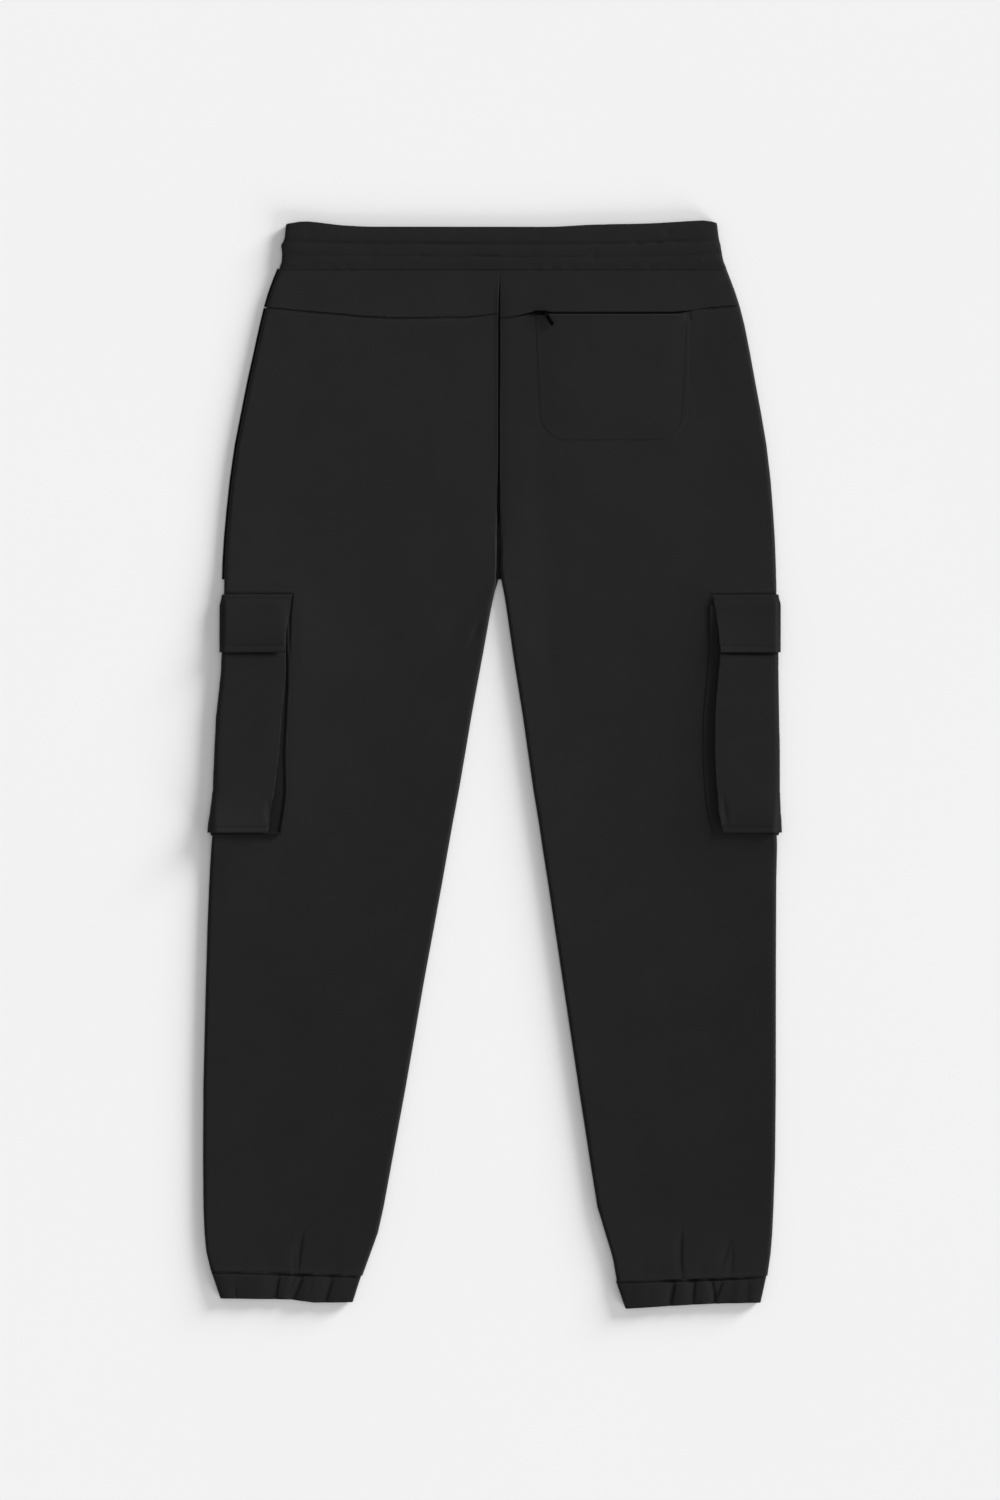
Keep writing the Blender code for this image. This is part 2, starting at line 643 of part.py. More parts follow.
def cargo_gusset(leg, parent, material):
    seam, tuck = gusset_path(leg)
    grids = []
    for thickness in (POCKET_CLOTH, 0.0):
        rows = []
        for on_leg, under_face in zip(seam, tuck):
            spots = [(lerp(on_leg[0], under_face[0], step), lerp(on_leg[1], under_face[1], step), step)
                     for step in GUSSET_STEPS]
            rows.append([skin(leg, along, drop, SEAM_GAP + GUSSET_RISE * step + thickness)
                         for along, drop, step in spots])
        grids.append(rows)
    return solid("cargo_gusset_" + leg.name, *grids, parent, material)


# ---------------------------------------------------------------- hip pocket and its zip

def back_pocket(parent, material):
    """A patch pocket on the right hip, with rounded lower corners; its top edge hangs from the zip."""
    rows = [("top", 0.0)]
    rows += [("side", drop) for drop in POCKET_DROPS]
    rows += [("corner", math.pi / 2 * k / CORNER_STEPS) for k in range(CORNER_STEPS + 1)]

    def row_points(kind, value, height):
        points = []
        inset = POCKET_CORNER * (1 - math.cos(value)) if kind == "corner" else 0.0
        for share in POCKET_COLUMNS:
            if kind == "top":
                x = lerp(POCKET_LEFT, POCKET_RIGHT, share)
                drop = RIGHT.yoke_seam(x) + slit_half(RIGHT, x) + POCKET_EDGE_GAP
            else:
                drop = value if kind == "side" else POCKET_BOTTOM - POCKET_CORNER * (1 - math.sin(value))
                taper = POCKET_TAPER * (drop - ZIP_DROP) / (POCKET_BOTTOM - ZIP_DROP)
                x = lerp(POCKET_LEFT + taper + inset, POCKET_RIGHT - taper / 2 - inset, share)
            points.append(Vector((x, -drop, top_height(RIGHT, x, drop) + height)))
        return points
    grids = [[row_points(kind, value, height) for kind, value in rows]
             for height in (SEAM_GAP + POCKET_CLOTH, SEAM_GAP)]
    return solid("back_pocket", *grids, parent, material)


def zip_tape(parent, material):
    """The tape behind the slit between yoke and back panel."""
    columns = [ZIP_LEFT - TAPE_OVERRUN]
    columns += [lerp(ZIP_LEFT, ZIP_RIGHT, k / TAPE_STEPS) for k in range(TAPE_STEPS + 1)]
    columns += [ZIP_RIGHT + TAPE_OVERRUN]
    drops = (ZIP_DROP - TAPE_HALF, ZIP_DROP, ZIP_DROP + TAPE_HALF)
    grids = []
    for depth in (SEAM_GAP, SEAM_GAP + TAPE_CLOTH):
        grids.append([[Vector((x, -drop, top_height(RIGHT, x, drop) - FLEECE - depth)) for x in columns]
                      for drop in drops])
    return solid("zip_tape", *grids, parent, material)


def bail_wall(radius, foot):
    """One side of the slider's bail: up, over in a half circle and down, along the pull's heading."""
    turns = [math.pi * k / BAIL_STEPS for k in range(BAIL_STEPS + 1)]
    points = [(radius, foot)]
    points += [(radius * math.cos(turn), PIVOT_HEIGHT + radius * math.sin(turn)) for turn in turns]
    points += [(-radius, foot)]
    middle = Vector((PIVOT_X, -ZIP_DROP, 0))
    return [[middle + PULL_HEADING * p + PULL_ACROSS * side + Vector((0, 0, z))
             for side in (-BAIL_HALF, BAIL_HALF)] for p, z in points]


def zip_slider(parent, material):
    """A plate over the slit, a keel down to the tape and a bail that holds the pull tab."""
    foot = SLIDER_TOP - BAIL_FOOT
    bail = solid("zip_bail_tool", bail_wall(BAIL_OUTER, foot), bail_wall(BAIL_INNER, foot), parent, material)
    bail.hide_render = True
    bail.display_type = "WIRE"
    profile = [(-KEEL_HALF, KEEL_BOTTOM), (KEEL_HALF, KEEL_BOTTOM), (KEEL_HALF, SLIDER_BOTTOM),
               (SLIDER_HALF, SLIDER_BOTTOM), (SLIDER_HALF, SLIDER_TOP - SLIDER_CHAMFER),
               (SLIDER_HALF - SLIDER_CHAMFER, SLIDER_TOP), (SLIDER_CHAMFER - SLIDER_HALF, SLIDER_TOP),
               (-SLIDER_HALF, SLIDER_TOP - SLIDER_CHAMFER), (-SLIDER_HALF, SLIDER_BOTTOM),
               (-KEEL_HALF, SLIDER_BOTTOM)]
    mesh_data = bmesh.new()
    corners = [mesh_data.verts.new(Vector((SLIDER_LEFT, y - ZIP_DROP, z)) * MM) for y, z in profile]
    end = mesh_data.faces.new(corners)
    grown = bmesh.ops.extrude_face_region(mesh_data, geom=[end])
    moved = [item for item in grown["geom"] if isinstance(item, bmesh.types.BMVert)]
    bmesh.ops.translate(mesh_data, verts=moved, vec=Vector((SLIDER_RIGHT - SLIDER_LEFT, 0, 0)) * MM)
    slider = finish_object("zip_slider", mesh_data, parent, material)
    join = slider.modifiers.new("bail", "BOOLEAN")
    join.operation = "UNION"
    join.solver = "EXACT"
    join.object = bail
    return slider


def zip_pull(parent, material):
    """A flat tab with an eye round the slider's bail; its origin is on the axis it swings about."""
    lengths = (-PULL_HALF_THICKNESS, PULL_HALF_THICKNESS, PULL_EYE_END, PULL_LENGTH)
    widths = (-PULL_HALF, -PULL_EYE_HALF, PULL_EYE_HALF, PULL_HALF)
    mesh_data = bmesh.new()
    below = Vector((0, 0, -PULL_HALF_THICKNESS))
    lattice = [[mesh_data.verts.new((PULL_HEADING * p + PULL_ACROSS * w + below) * MM) for w in widths]
               for p in lengths]
    eye = (1, 1)
    for i in range(len(lengths) - 1):
        for j in range(len(widths) - 1):
            if (i, j) != eye:
                near, far = lattice[i], lattice[i + 1]
                mesh_data.faces.new((near[j], near[j + 1], far[j + 1], far[j]))
    grown = bmesh.ops.extrude_face_region(mesh_data, geom=mesh_data.faces[:])
    moved = [item for item in grown["geom"] if isinstance(item, bmesh.types.BMVert)]
    bmesh.ops.translate(mesh_data, verts=moved, vec=Vector((0, 0, 2 * PULL_HALF_THICKNESS)) * MM)
    return finish_object("zip_pull", mesh_data, parent, material, Vector((PIVOT_X, -ZIP_DROP, PIVOT_HEIGHT)))


# ---------------------------------------------------------------- the garment

def centre_on_origin(root):
    """Move the parent empty so that the middle of the garment's footprint lies on the origin."""
    points = [piece.location + vertex.co for piece in root.children if not piece.hide_render
              for vertex in piece.data.vertices]
    root.location.x = -(min(p.x for p in points) + max(p.x for p in points)) / 2
    root.location.y = -(min(p.y for p in points) + max(p.y for p in points)) / 2


def main():
    for old in list(bpy.data.objects):
        bpy.data.objects.remove(old, do_unlink=True)
    root = bpy.data.objects.new("laid_garment", None)
    bpy.context.collection.objects.link(root)

    fleece = grey_material("charcoal_fleece", 0.0176)
    rib = grey_material("charcoal_band", 0.0168)
    pocket = grey_material("charcoal_pocket", 0.0180)
    tape = grey_material("black_tape", 0.006)
    metal = grey_material("black_metal", 0.004, roughness=0.35, metallic=0.6)

    face_drops = (*CARGO_DROPS, FACE_BOTTOM)
    for leg in (LEFT, RIGHT):
        leg_panel("back_" + leg.name, leg, root, fleece, upper=True)
        leg_panel("front_" + leg.name, leg, root, fleece, upper=False)
        yoke("yoke_" + leg.name, leg, root, fleece)
        wrapped_piece("cargo_face", leg, face_drops, leg.face_reach, face_stand, root, pocket)
        wrapped_piece("cargo_flap", leg, FLAP_DROPS, leg.flap_reach, flap_stand, root, pocket)
        cargo_gusset(leg, root, pocket)
    waistband(root, rib)
    cuff("cuff_left", LEFT, LEFT_CUFF, LEFT_GATHERS, LEFT_HEM, root, rib)
    cuff("cuff_right", RIGHT, RIGHT_CUFF, RIGHT_GATHERS, RIGHT_HEM, root, rib)
    back_pocket(root, pocket)
    zip_tape(root, tape)
    zip_slider(root, metal)
    zip_pull(root, metal)
    centre_on_origin(root)


main()
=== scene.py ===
# %% [markdown]
# # Cuffed cargo sweatpants, laid flat with the back uppermost
#
# The construction is finished: every cut piece exists as a plain closed solid at its real size and place.
# What is missing is what the eye enjoys, such as knit, creases, gathers, topstitching and the small black
# zip. We load the solids first and never move them, because every finer piece has to sit where its plain
# one does.

# %% Load the fixed frame
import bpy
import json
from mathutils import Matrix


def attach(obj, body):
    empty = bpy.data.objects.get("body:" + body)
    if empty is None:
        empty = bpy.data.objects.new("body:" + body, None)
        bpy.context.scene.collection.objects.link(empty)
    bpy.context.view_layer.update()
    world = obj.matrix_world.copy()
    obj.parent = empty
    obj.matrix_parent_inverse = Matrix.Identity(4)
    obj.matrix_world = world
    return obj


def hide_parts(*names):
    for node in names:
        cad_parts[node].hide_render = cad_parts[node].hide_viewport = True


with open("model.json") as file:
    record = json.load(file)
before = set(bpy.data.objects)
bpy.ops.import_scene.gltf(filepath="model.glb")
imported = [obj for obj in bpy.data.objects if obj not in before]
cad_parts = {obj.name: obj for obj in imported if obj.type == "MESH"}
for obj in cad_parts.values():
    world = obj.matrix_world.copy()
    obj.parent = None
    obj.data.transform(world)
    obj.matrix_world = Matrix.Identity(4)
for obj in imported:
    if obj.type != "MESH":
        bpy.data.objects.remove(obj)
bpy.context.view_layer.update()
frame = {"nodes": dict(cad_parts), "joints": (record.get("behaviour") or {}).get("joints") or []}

# %% Tools for this lesson
import json
import math
from collections import namedtuple

import bmesh
import bpy
import numpy as np
from mathutils import Matrix, Vector
from mathutils.bvhtree import BVHTree
from mathutils.kdtree import KDTree

MM = 0.001
scene = bpy.context.scene

# %% [markdown]
# ## Where things are
#
# A tailor measures from a seam, and so do we. *across* is the distance in millimetres from the
# centre-back seam, positive towards the wearer's right leg, and *drop* is the distance down from the top
# of the waistband. The pull tab's pivot is known in both systems and ties them together.

# %% Tailor's measures
PIVOT_ACROSS, PIVOT_DROP = 42.6, 86.3
pivot = Vector(frame["joints"][0]["pos_m"])
seam_top = Vector((pivot.x - PIVOT_ACROSS * MM, pivot.y + PIVOT_DROP * MM, 0))


def laid(across, drop, height=0.0):
    """The world point at this distance across, down the garment and above the floor, all in mm."""
    return seam_top + Vector((across, -drop, height)) * MM


print("top of the centre-back seam:", [round(value / MM, 2) for value in seam_top], "mm")

# %% [markdown]
# ## Camera
#
# The photograph looks straight down on the garment from far away, so there is hardly any perspective.
# A long lens, high above the middle of the picture, gives the same view.

# %% A camera straight above
PHOTO_WIDTH, PHOTO_HEIGHT, MM_PER_PIXEL = 1000, 1500, 0.95
SEAM_TOP_PIXEL = (500, 222)
CAMERA_HEIGHT, SENSOR = 6.0, 36.0


def linked(name, data):
    """A new object with this data, in the scene."""
    made = bpy.data.objects.new(name, data)
    scene.collection.objects.link(made)
    return made


camera_data = bpy.data.cameras.new("camera_above")
camera_data.sensor_fit = "VERTICAL"
camera_data.sensor_height = SENSOR
camera_data.lens = SENSOR * CAMERA_HEIGHT / (PHOTO_HEIGHT * MM_PER_PIXEL * MM)
camera_data.clip_end = 100
camera = linked("camera_above", camera_data)
camera.location = laid((PHOTO_WIDTH / 2 - SEAM_TOP_PIXEL[0]) * MM_PER_PIXEL,
                       (PHOTO_HEIGHT / 2 - SEAM_TOP_PIXEL[1]) * MM_PER_PIXEL)
camera.location.z = CAMERA_HEIGHT
scene.camera = camera
print("lens", round(camera_data.lens, 1), "mm over", tuple(round(v, 3) for v in camera.location))

# %% [markdown]
# ## Light
#
# A broad soft shadow lies to the left of each leg and below the cuffs, a faint one above the waistband,
# and hardly any at the right edges. So the strongest light is low, from the upper right, a weaker one is
# low from the lower right, and a pale room fills in from all round. A sun lamp with a wide angle gives
# such a soft edge, and lights the floor evenly right to the corners of the picture.

# %% Key light and fill
Sun = namedtuple("Sun", "name strength elevation azimuth spread")
SUNS = (
    Sun("key_upper_right", 4.6, 15.8, 36, 22),
    Sun("key_lower_right", 1.75, 18, -42, 26),
    Sun("fill_overhead", 0.6, 88, 0, 50),
)
WORLD_STRENGTH = 0.35
for sun in SUNS:
    lamp = bpy.data.lights.new(sun.name, "SUN")
    lamp.energy = sun.strength
    lamp.angle = math.radians(sun.spread)
    light = linked(sun.name, lamp)
    elevation, azimuth = math.radians(sun.elevation), math.radians(sun.azimuth)
    level = math.cos(elevation)
    towards = Vector((level * math.cos(azimuth), level * math.sin(azimuth), math.sin(elevation)))
    light.rotation_euler = towards.to_track_quat("Z", "Y").to_euler()
    light.location = towards * 3
world = bpy.data.worlds.new("pale_room")
world.use_nodes = True
room = world.node_tree.nodes["Background"].inputs
room["Strength"].default_value, room["Color"].default_value = WORLD_STRENGTH, (1, 1, 1, 1)
scene.world = world
scene.view_settings.view_transform = "Standard"
print("light on the floor:", [round(sun.strength * math.sin(math.radians(sun.elevation)) / math.pi, 2)
                              for sun in SUNS], "and the room", WORLD_STRENGTH)

# %% [markdown]
# ## A word on materials
#
# A material is a small network of nodes. The helpers add a node, a sum, a range of tones or the final
# shader, set it and link it, and turn the colours that we read off a screen (sRGB) into the linear values
# that a renderer calculates with.

# %% Helpers for materials
def linear(colour):
    """An sRGB hex colour as linear RGBA."""
    channels = [int(colour[i:i + 2], 16) / 255 for i in (1, 3, 5)]
    return [c / 12.92 if c <= 0.04045 else ((c + 0.055) / 1.055) ** 2.4 for c in channels] + [1.0]


def add(tree, kind, inputs=(), **settings):
    """Add a shader node; inputs maps its sockets to values, or to the output sockets that feed them."""
    made = tree.nodes.new("ShaderNode" + kind)
    for name, value in settings.items():
        setattr(made, name, value)
    for socket, value in dict(inputs).items():
        if isinstance(value, bpy.types.NodeSocket):
            tree.links.new(value, made.inputs[socket])
        else:
            made.inputs[socket].default_value = value
    return made


def reckon(tree, operation, *values):
    """The output of a Math node that works on these values."""
    return add(tree, "Math", dict(enumerate(values)), operation=operation).outputs[0]


def object_place(tree):
    return add(tree, "TexCoord").outputs["Object"]


def shade(tree, noise, dark, light, ends=(0, 1)):
    """The tone that a noise picks between two colours; ends are the values that give the colours."""
    tone = add(tree, "ValToRGB", {"Fac": noise.outputs["Fac"]})
    for element, end, colour in zip(tone.color_ramp.elements, ends, (dark, light)):
        element.position, element.color = end, linear(colour)
    return tone.outputs["Color"]


def surface(tree, look):
    """A Principled shader with this look, on the material's output."""
    shader = add(tree, "BsdfPrincipled", look)
    tree.links.new(shader.outputs["BSDF"], tree.nodes["Material Output"].inputs["Surface"])


def new_material(name):
    """A material with only an output node, and its tree."""
    material = bpy.data.materials.new(name)
    material.use_nodes = True
    tree = material.node_tree
    tree.nodes.clear()
    tree.nodes.new("ShaderNodeOutputMaterial")
    return material, tree


print("mid grey #808080 is linear", round(linear("#808080")[0], 3))

# %% [markdown]
# ## The floor
#
# A sheet of pale studio paper, rolled out far enough that no view sees its edge. It lies a hair below the
# cloth, so that no two surfaces share a plane.

# %% Matte paper floor
FLOOR_SIZE, FLOOR_GAP = 60.0, 0.2
bpy.ops.object.select_all(action="DESELECT")
bpy.ops.mesh.primitive_plane_add(size=FLOOR_SIZE, location=(0, 0, -FLOOR_GAP * MM))
floor = bpy.context.object
floor.name = "studio_paper"
paper, tree = new_material("studio_paper_matte")
grain = add(tree, "TexNoise", {"Vector": object_place(tree), "Scale": 3.0, "Detail": 2.0})
surface(tree, {"Base Color": shade(tree, grain, "#E6E6E6", "#E8E8E8"), "Roughness": 0.95,
               "Specular IOR Level": 0.1})
floor.data.materials.append(paper)
print("floor at", -FLOOR_GAP, "mm")

# %% [markdown]
# ## Knitted cloth
#
# The legs are sweatshirt fleece, a cotton knit with smooth V-shaped stitches outside. Its face is matte,
# and goes a touch lighter at grazing angles because of its fine fuzz. We draw the stitches as a bump from
# two sizes, the wale (the width of one column of stitches) and the course (the height of one row). A
# Mapping node turns them with the grain of each piece. The colour is a touch darker towards the hems than
# at the seat, so a slow gradient runs down the garment.

# %% A knit that follows the grain
WALE, COURSE = 0.9, 0.75
MOTTLE, FUZZ = 55.0, 0.35
LOOP_SHARE, FUZZ_SHARE = 0.35, 0.8
PALEST_ABOVE, DARKEST_BELOW, HEM_SHADE = 330, 800, "#F1F1F1"


def knit_material(name, dark, light, grain=0.0, depth=0.10):
    """Cotton knit; grain is the turn of its wales in degrees and depth the relief of a stitch in mm."""
    material, tree = new_material(name)
    place = add(tree, "Mapping", {"Vector": object_place(tree),
                                  "Rotation": (0, 0, math.radians(grain))}).outputs["Vector"]
    axes = add(tree, "SeparateXYZ", {"Vector": place}).outputs
    wale = reckon(tree, "FRACT", reckon(tree, "MULTIPLY", axes["X"], 1 / (WALE * MM)))
    arm = reckon(tree, "ABSOLUTE", reckon(tree, "SUBTRACT", wale, 0.5))
    course = reckon(tree, "MULTIPLY", axes["Y"], 1 / (COURSE * MM))
    slanted = reckon(tree, "SUBTRACT", course, arm)
    loop = reckon(tree, "SINE", reckon(tree, "MULTIPLY", slanted, math.tau))
    rib = reckon(tree, "SINE", reckon(tree, "MULTIPLY", arm, math.tau))
    stitch = reckon(tree, "MULTIPLY_ADD", loop, LOOP_SHARE, rib)
    fuzz = add(tree, "TexNoise", {"Vector": place, "Scale": 1 / (FUZZ * MM), "Detail": 2.0})
    relief = reckon(tree, "MULTIPLY_ADD", fuzz.outputs["Fac"], FUZZ_SHARE, stitch)
    bump = add(tree, "Bump", {"Height": relief, "Distance": depth * MM, "Strength": 0.6})
    cloudy = add(tree, "TexNoise", {"Vector": place, "Scale": 1 / (MOTTLE * MM), "Detail": 4.0, "Roughness": 0.65})
    tone = shade(tree, cloudy, dark, light, (0.3, 0.7))
    # The base colour is multiplied darker from the seat down towards the hems.
    up = add(tree, "SeparateXYZ", {"Vector": object_place(tree)})
    towards_hems = add(tree, "MapRange", {"Value": up.outputs["Y"], "From Min": laid(0, PALEST_ABOVE).y,
                                  "From Max": laid(0, DARKEST_BELOW).y})
    darker_to_hems = add(tree, "Mix", {0: towards_hems.outputs["Result"], 6: tone, 7: linear(HEM_SHADE)},
               data_type="RGBA", blend_type="MULTIPLY")
    surface(tree, {
        "Base Color": darker_to_hems.outputs[2], "Roughness": 0.92, "IOR": 1.5, "Specular IOR Level": 0.08,
        "Sheen Weight": 0.05, "Sheen Roughness": 0.45, "Normal": bump.outputs["Normal"]})
    return material


LEFT_GRAIN, RIGHT_GRAIN = 5.0, -4.0
fleece = {
    "left": knit_material("brushed_cotton_fleece_left_leg", "#1E1E1E", "#202020", LEFT_GRAIN),
    "right": knit_material("brushed_cotton_fleece_right_leg", "#1E1E1E", "#202020", RIGHT_GRAIN),
}
band_knit = knit_material("elasticated_cotton_knit", "#1D1D1D", "#1F1F1F", 0.0, 0.12)
PRESSED_DEPTH = 0.08
# Faces and flaps get tones of their own that even out how the light falls on them: the left face is painted
# lighter than the leg, and the right face and both flaps are painted darker.
pocket_knit = {node: knit_material(name, dark, light, grain, PRESSED_DEPTH) for node, name, dark, light, grain in (
    ("cargo_face_left", "pressed_cotton_knit_left_face", "#202020", "#222222", LEFT_GRAIN),
    ("cargo_face_right", "pressed_cotton_knit_right_face", "#1C1C1C", "#1E1E1E", RIGHT_GRAIN),
    ("cargo_flap_left", "pressed_cotton_knit_left_flap", "#1D1D1D", "#1F1F1F", LEFT_GRAIN),
    ("cargo_flap_right", "pressed_cotton_knit_right_flap", "#1C1C1C", "#1E1E1E", RIGHT_GRAIN),
    # Both gussets are coloured darker than the leg, the left one most: painted shade for their hollow folds.
    ("cargo_gusset_left", "cotton_knit_left_gusset_across_the_grain", "#121212", "#161616", LEFT_GRAIN + 90),
    ("cargo_gusset_right", "cotton_knit_right_gusset_across_the_grain", "#1A1A1A", "#1E1E1E", RIGHT_GRAIN + 90),
    ("back_pocket", "pressed_cotton_knit_hip_pocket", "#1E1E1E", "#202020", RIGHT_GRAIN),
)}
tape_weave = knit_material("woven_polyester_tape", "#0C0C0C", "#101010", 0.0, 0.05)
print("knit: wale", WALE, "mm, course", COURSE, "mm")

# %% [markdown]
# ## Cloth from a plain solid
#
# Each plain solid already has a wall's inside and outside, so the finer piece is a copy of it. We weld
# the copy's loose triangles, dissolve the flat ones into large faces, and bisect those into small, even
# cells that can carry creases.

# %% Cut a copy of a solid into even cells
WELD, SLIVER = 0.02, 0.25
FLAT_ANGLE, RIM_ANGLE = math.radians(0.15), math.radians(60)
EVERYWHERE = ((-400, -100), (400, 1200))
UPWARD, DOWNWARD, BOTH = 1, -1, 0
Lattice = namedtuple("Lattice", "cell facing low high", defaults=EVERYWHERE)


def two_sided(inner, outer):
    """Lattices for a wall whose inner and outer faces get cells of these sizes."""
    return [Lattice(inner, DOWNWARD), Lattice(outer, UPWARD)]


def cut_between(grid, faces, axis, cell, first, last):
    """Bisect faces at each multiple of the cell from first to last: at the middle one, then each half."""
    if first > last or not faces:
        return faces
    middle = (first + last) // 2
    normal = Vector((axis == 0, axis == 1, 0))
    geometry = list({part for face in faces for part in (face, *face.edges, *face.verts)})
    cut = bmesh.ops.bisect_plane(grid, geom=geometry, dist=1e-6, plane_no=normal,
                                 plane_co=normal * middle * cell)
    below, above = [], []
    for part in cut["geom"]:
        if isinstance(part, bmesh.types.BMFace):
            side = below if part.calc_center_median()[axis] < middle * cell else above
            side.append(part)
    return (cut_between(grid, below, axis, cell, first, middle - 1)
            + cut_between(grid, above, axis, cell, middle + 1, last))


def cut_cells(grid, lattice):
    """Cut the faces that lie between two (across, drop) corners and face the lattice's way."""
    low, high = laid(*lattice.low), laid(*lattice.high)
    cell = lattice.cell * MM
    faces = []
    for face in grid.faces:
        middle = face.calc_center_median()
        inside = low.x <= middle.x <= high.x and high.y <= middle.y <= low.y
        if inside and (lattice.facing == BOTH or lattice.facing * face.normal.z > -0.02):
            faces.append(face)
    for axis in (0, 1) if faces else ():
        spots = [vertex.co[axis] for face in faces for vertex in face.verts]
        faces = cut_between(grid, faces, axis, cell, math.ceil(min(spots) / cell),
                            math.floor(max(spots) / cell))


def welded(node, firmness=0.0):
    """A welded copy of a node's solid; firmness from 0 to 1 keeps its rims sharp under subdivision."""
    grid = bmesh.new()
    grid.from_mesh(frame["nodes"][node].data)
    bmesh.ops.remove_doubles(grid, verts=grid.verts, dist=WELD * MM)
    bmesh.ops.dissolve_limit(grid, angle_limit=FLAT_ANGLE, verts=grid.verts, edges=grid.edges)
    crease = grid.edges.layers.float.new("crease_edge")
    for edge in grid.edges:
        if edge.calc_face_angle() > RIM_ANGLE:
            edge[crease] = firmness
    return grid


def as_object(name, grid):
    mesh = bpy.data.meshes.new(name)
    grid.to_mesh(mesh)
    grid.free()
    return linked(name, mesh)


def cut_copy(node, lattices, firmness=0.0):
    """A welded copy of a node's solid, cut into cells, as a new object."""
    grid = welded(node, firmness)
    for lattice in lattices:
        cut_cells(grid, lattice)
    bmesh.ops.dissolve_degenerate(grid, edges=grid.edges, dist=SLIVER * MM)
    return as_object(node + "_cloth", grid)


print("rims are edges over", round(math.degrees(RIM_ANGLE)), "degrees")

# %% [markdown]
# ## Smooth the facets
#
# The solids' broad facets would catch the light like a cut stone. So each height settles to the average
# of its neighbours, the nearer ones counting more, wherever the cloth is nearly level. Rims and rolled
# edges stay where the construction has them.

# %% Settle and soften
LEVEL = 0.97


def read_points(piece):
    points = np.empty(len(piece.data.vertices) * 3)
    piece.data.vertices.foreach_get("co", points)
    return points.reshape(-1, 3)


def read_normals(piece):
    normals = np.empty(len(piece.data.vertices) * 3, np.float32)
    piece.data.vertex_normals.foreach_get("vector", normals)
    return normals.reshape(-1, 3)


def tailor_coordinates(points):
    return (points[:, 0] - seam_top.x) / MM, (seam_top.y - points[:, 1]) / MM


def measured(piece):
    """A piece's points, and how far across and down the garment each one is."""
    points = read_points(piece)
    return points, *tailor_coordinates(points)


def write_points(piece, points):
    piece.data.vertices.foreach_set("co", points.ravel())
    piece.data.update()


def settle(piece, rounds, level=LEVEL, wanted=None):
    """Even out the heights where the normal is nearly upright; the more rounds, the wider the smoothing."""
    points = read_points(piece)
    free = np.abs(read_normals(piece)[:, 2]) > level
    if wanted is not None:
        free &= wanted(points)
    edges = np.empty(len(piece.data.edges) * 2, int)
    piece.data.edges.foreach_get("vertices", edges)
    a, b = edges.reshape(-1, 2).T
    pull = 1 / np.maximum(np.linalg.norm(points[a] - points[b], axis=1), 0.1 * MM)
    count = np.bincount(a, pull, len(points)) + np.bincount(b, pull, len(points))
    for _ in range(rounds):
        z = points[:, 2]
        total = np.bincount(a, pull * z[b], len(points)) + np.bincount(b, pull * z[a], len(points))
        points[free, 2] = (total / np.maximum(count, 1))[free]
    write_points(piece, points)


def soften(piece):
    """One round of subdivision, applied, with smooth shading."""
    bpy.ops.object.select_all(action="DESELECT")
    bpy.context.view_layer.objects.active = piece
    piece.select_set(True)
    smooth = piece.modifiers.new("soften", "SUBSURF")
    smooth.levels = smooth.render_levels = 1
    bpy.ops.object.modifier_apply(modifier=smooth.name)
    piece.data.shade_smooth()


print("level cloth has an upright normal over", LEVEL)

# %% [markdown]
# ## Two kinds of crease
#
# A short *crease* is a soft trough or ridge along a slightly bowed line, with its own length, depth and
# width on either side, and it dies away at both ends. A *furrow* follows a seam or a row of stitching: its
# line and its depth come from two small tables, so that it can be strong in one place and almost gone in
# the next. Both only raise or lower points, which keeps the pattern pieces their true size.

# %% Creases and furrows
Crease = namedtuple("Crease", "across_start drop_start across_end drop_end bow left_reach right_reach rise")
Furrow = namedtuple("Furrow", "runs line rise before after share", defaults=(((0, 1),),))


def soft_step(values):
    values = np.clip(values, 0, 1)
    return values * values * (3 - 2 * values)


def crease_rise(crease, across, drop):
    """How far one crease raises each point, in mm."""
    start = np.array((crease.across_start, crease.drop_start))
    run = np.array((crease.across_end, crease.drop_end)) - start
    length = np.hypot(*run)
    along = run / length
    side = np.array((along[1], -along[0]))
    away = np.stack((across, drop), 1) - start
    share = away @ along / length
    offset = away @ side - crease.bow * 4 * share * (1 - share)
    ends = soft_step(np.minimum(share, 1 - share) * 2.4)
    reach = np.where(offset > 0, crease.right_reach, crease.left_reach) * (0.55 + 0.45 * ends)
    return crease.rise * np.exp(-(offset / reach) ** 2) * ends * ((share > 0) & (share < 1))


def furrow_rise(furrow, across, drop):
    """How far one furrow raises each point, in mm; before and after are its reaches on its two sides."""
    along, other = (across, drop) if furrow.runs == "across" else (drop, across)
    spots, line = np.array(furrow.line, float).T
    share_spots, share = np.array(furrow.share, float).T
    offset = other - np.interp(along, spots, line)
    reach = np.where(offset > 0, furrow.after, furrow.before)
    strength = furrow.rise * np.interp(along, share_spots, share)
    return strength * np.exp(-(offset / reach) ** 2) * ((along >= spots[0]) & (along <= spots[-1]))


FOLLOWS_ABOVE, FOLLOWS_BELOW, GIVES_WAY_OVER = 4.4, 2.2, 1.2
LOWEST_OUTSIDE = 3.85    # the outer face of an upper wall stays above the inner one


def upper_weight(points, normals):
    """An upper wall follows a crease, but less and less where it rolls down to the side seam."""
    return soft_step((points[:, 2] / MM - FOLLOWS_ABOVE) / GIVES_WAY_OVER)


def under_weight(points, normals):
    """Only the outer face of what lies underneath follows."""
    outer = soft_step((-normals[:, 2] - 0.9) / 0.08)
    return outer * soft_step((FOLLOWS_BELOW - points[:, 2] / MM) / GIVES_WAY_OVER)


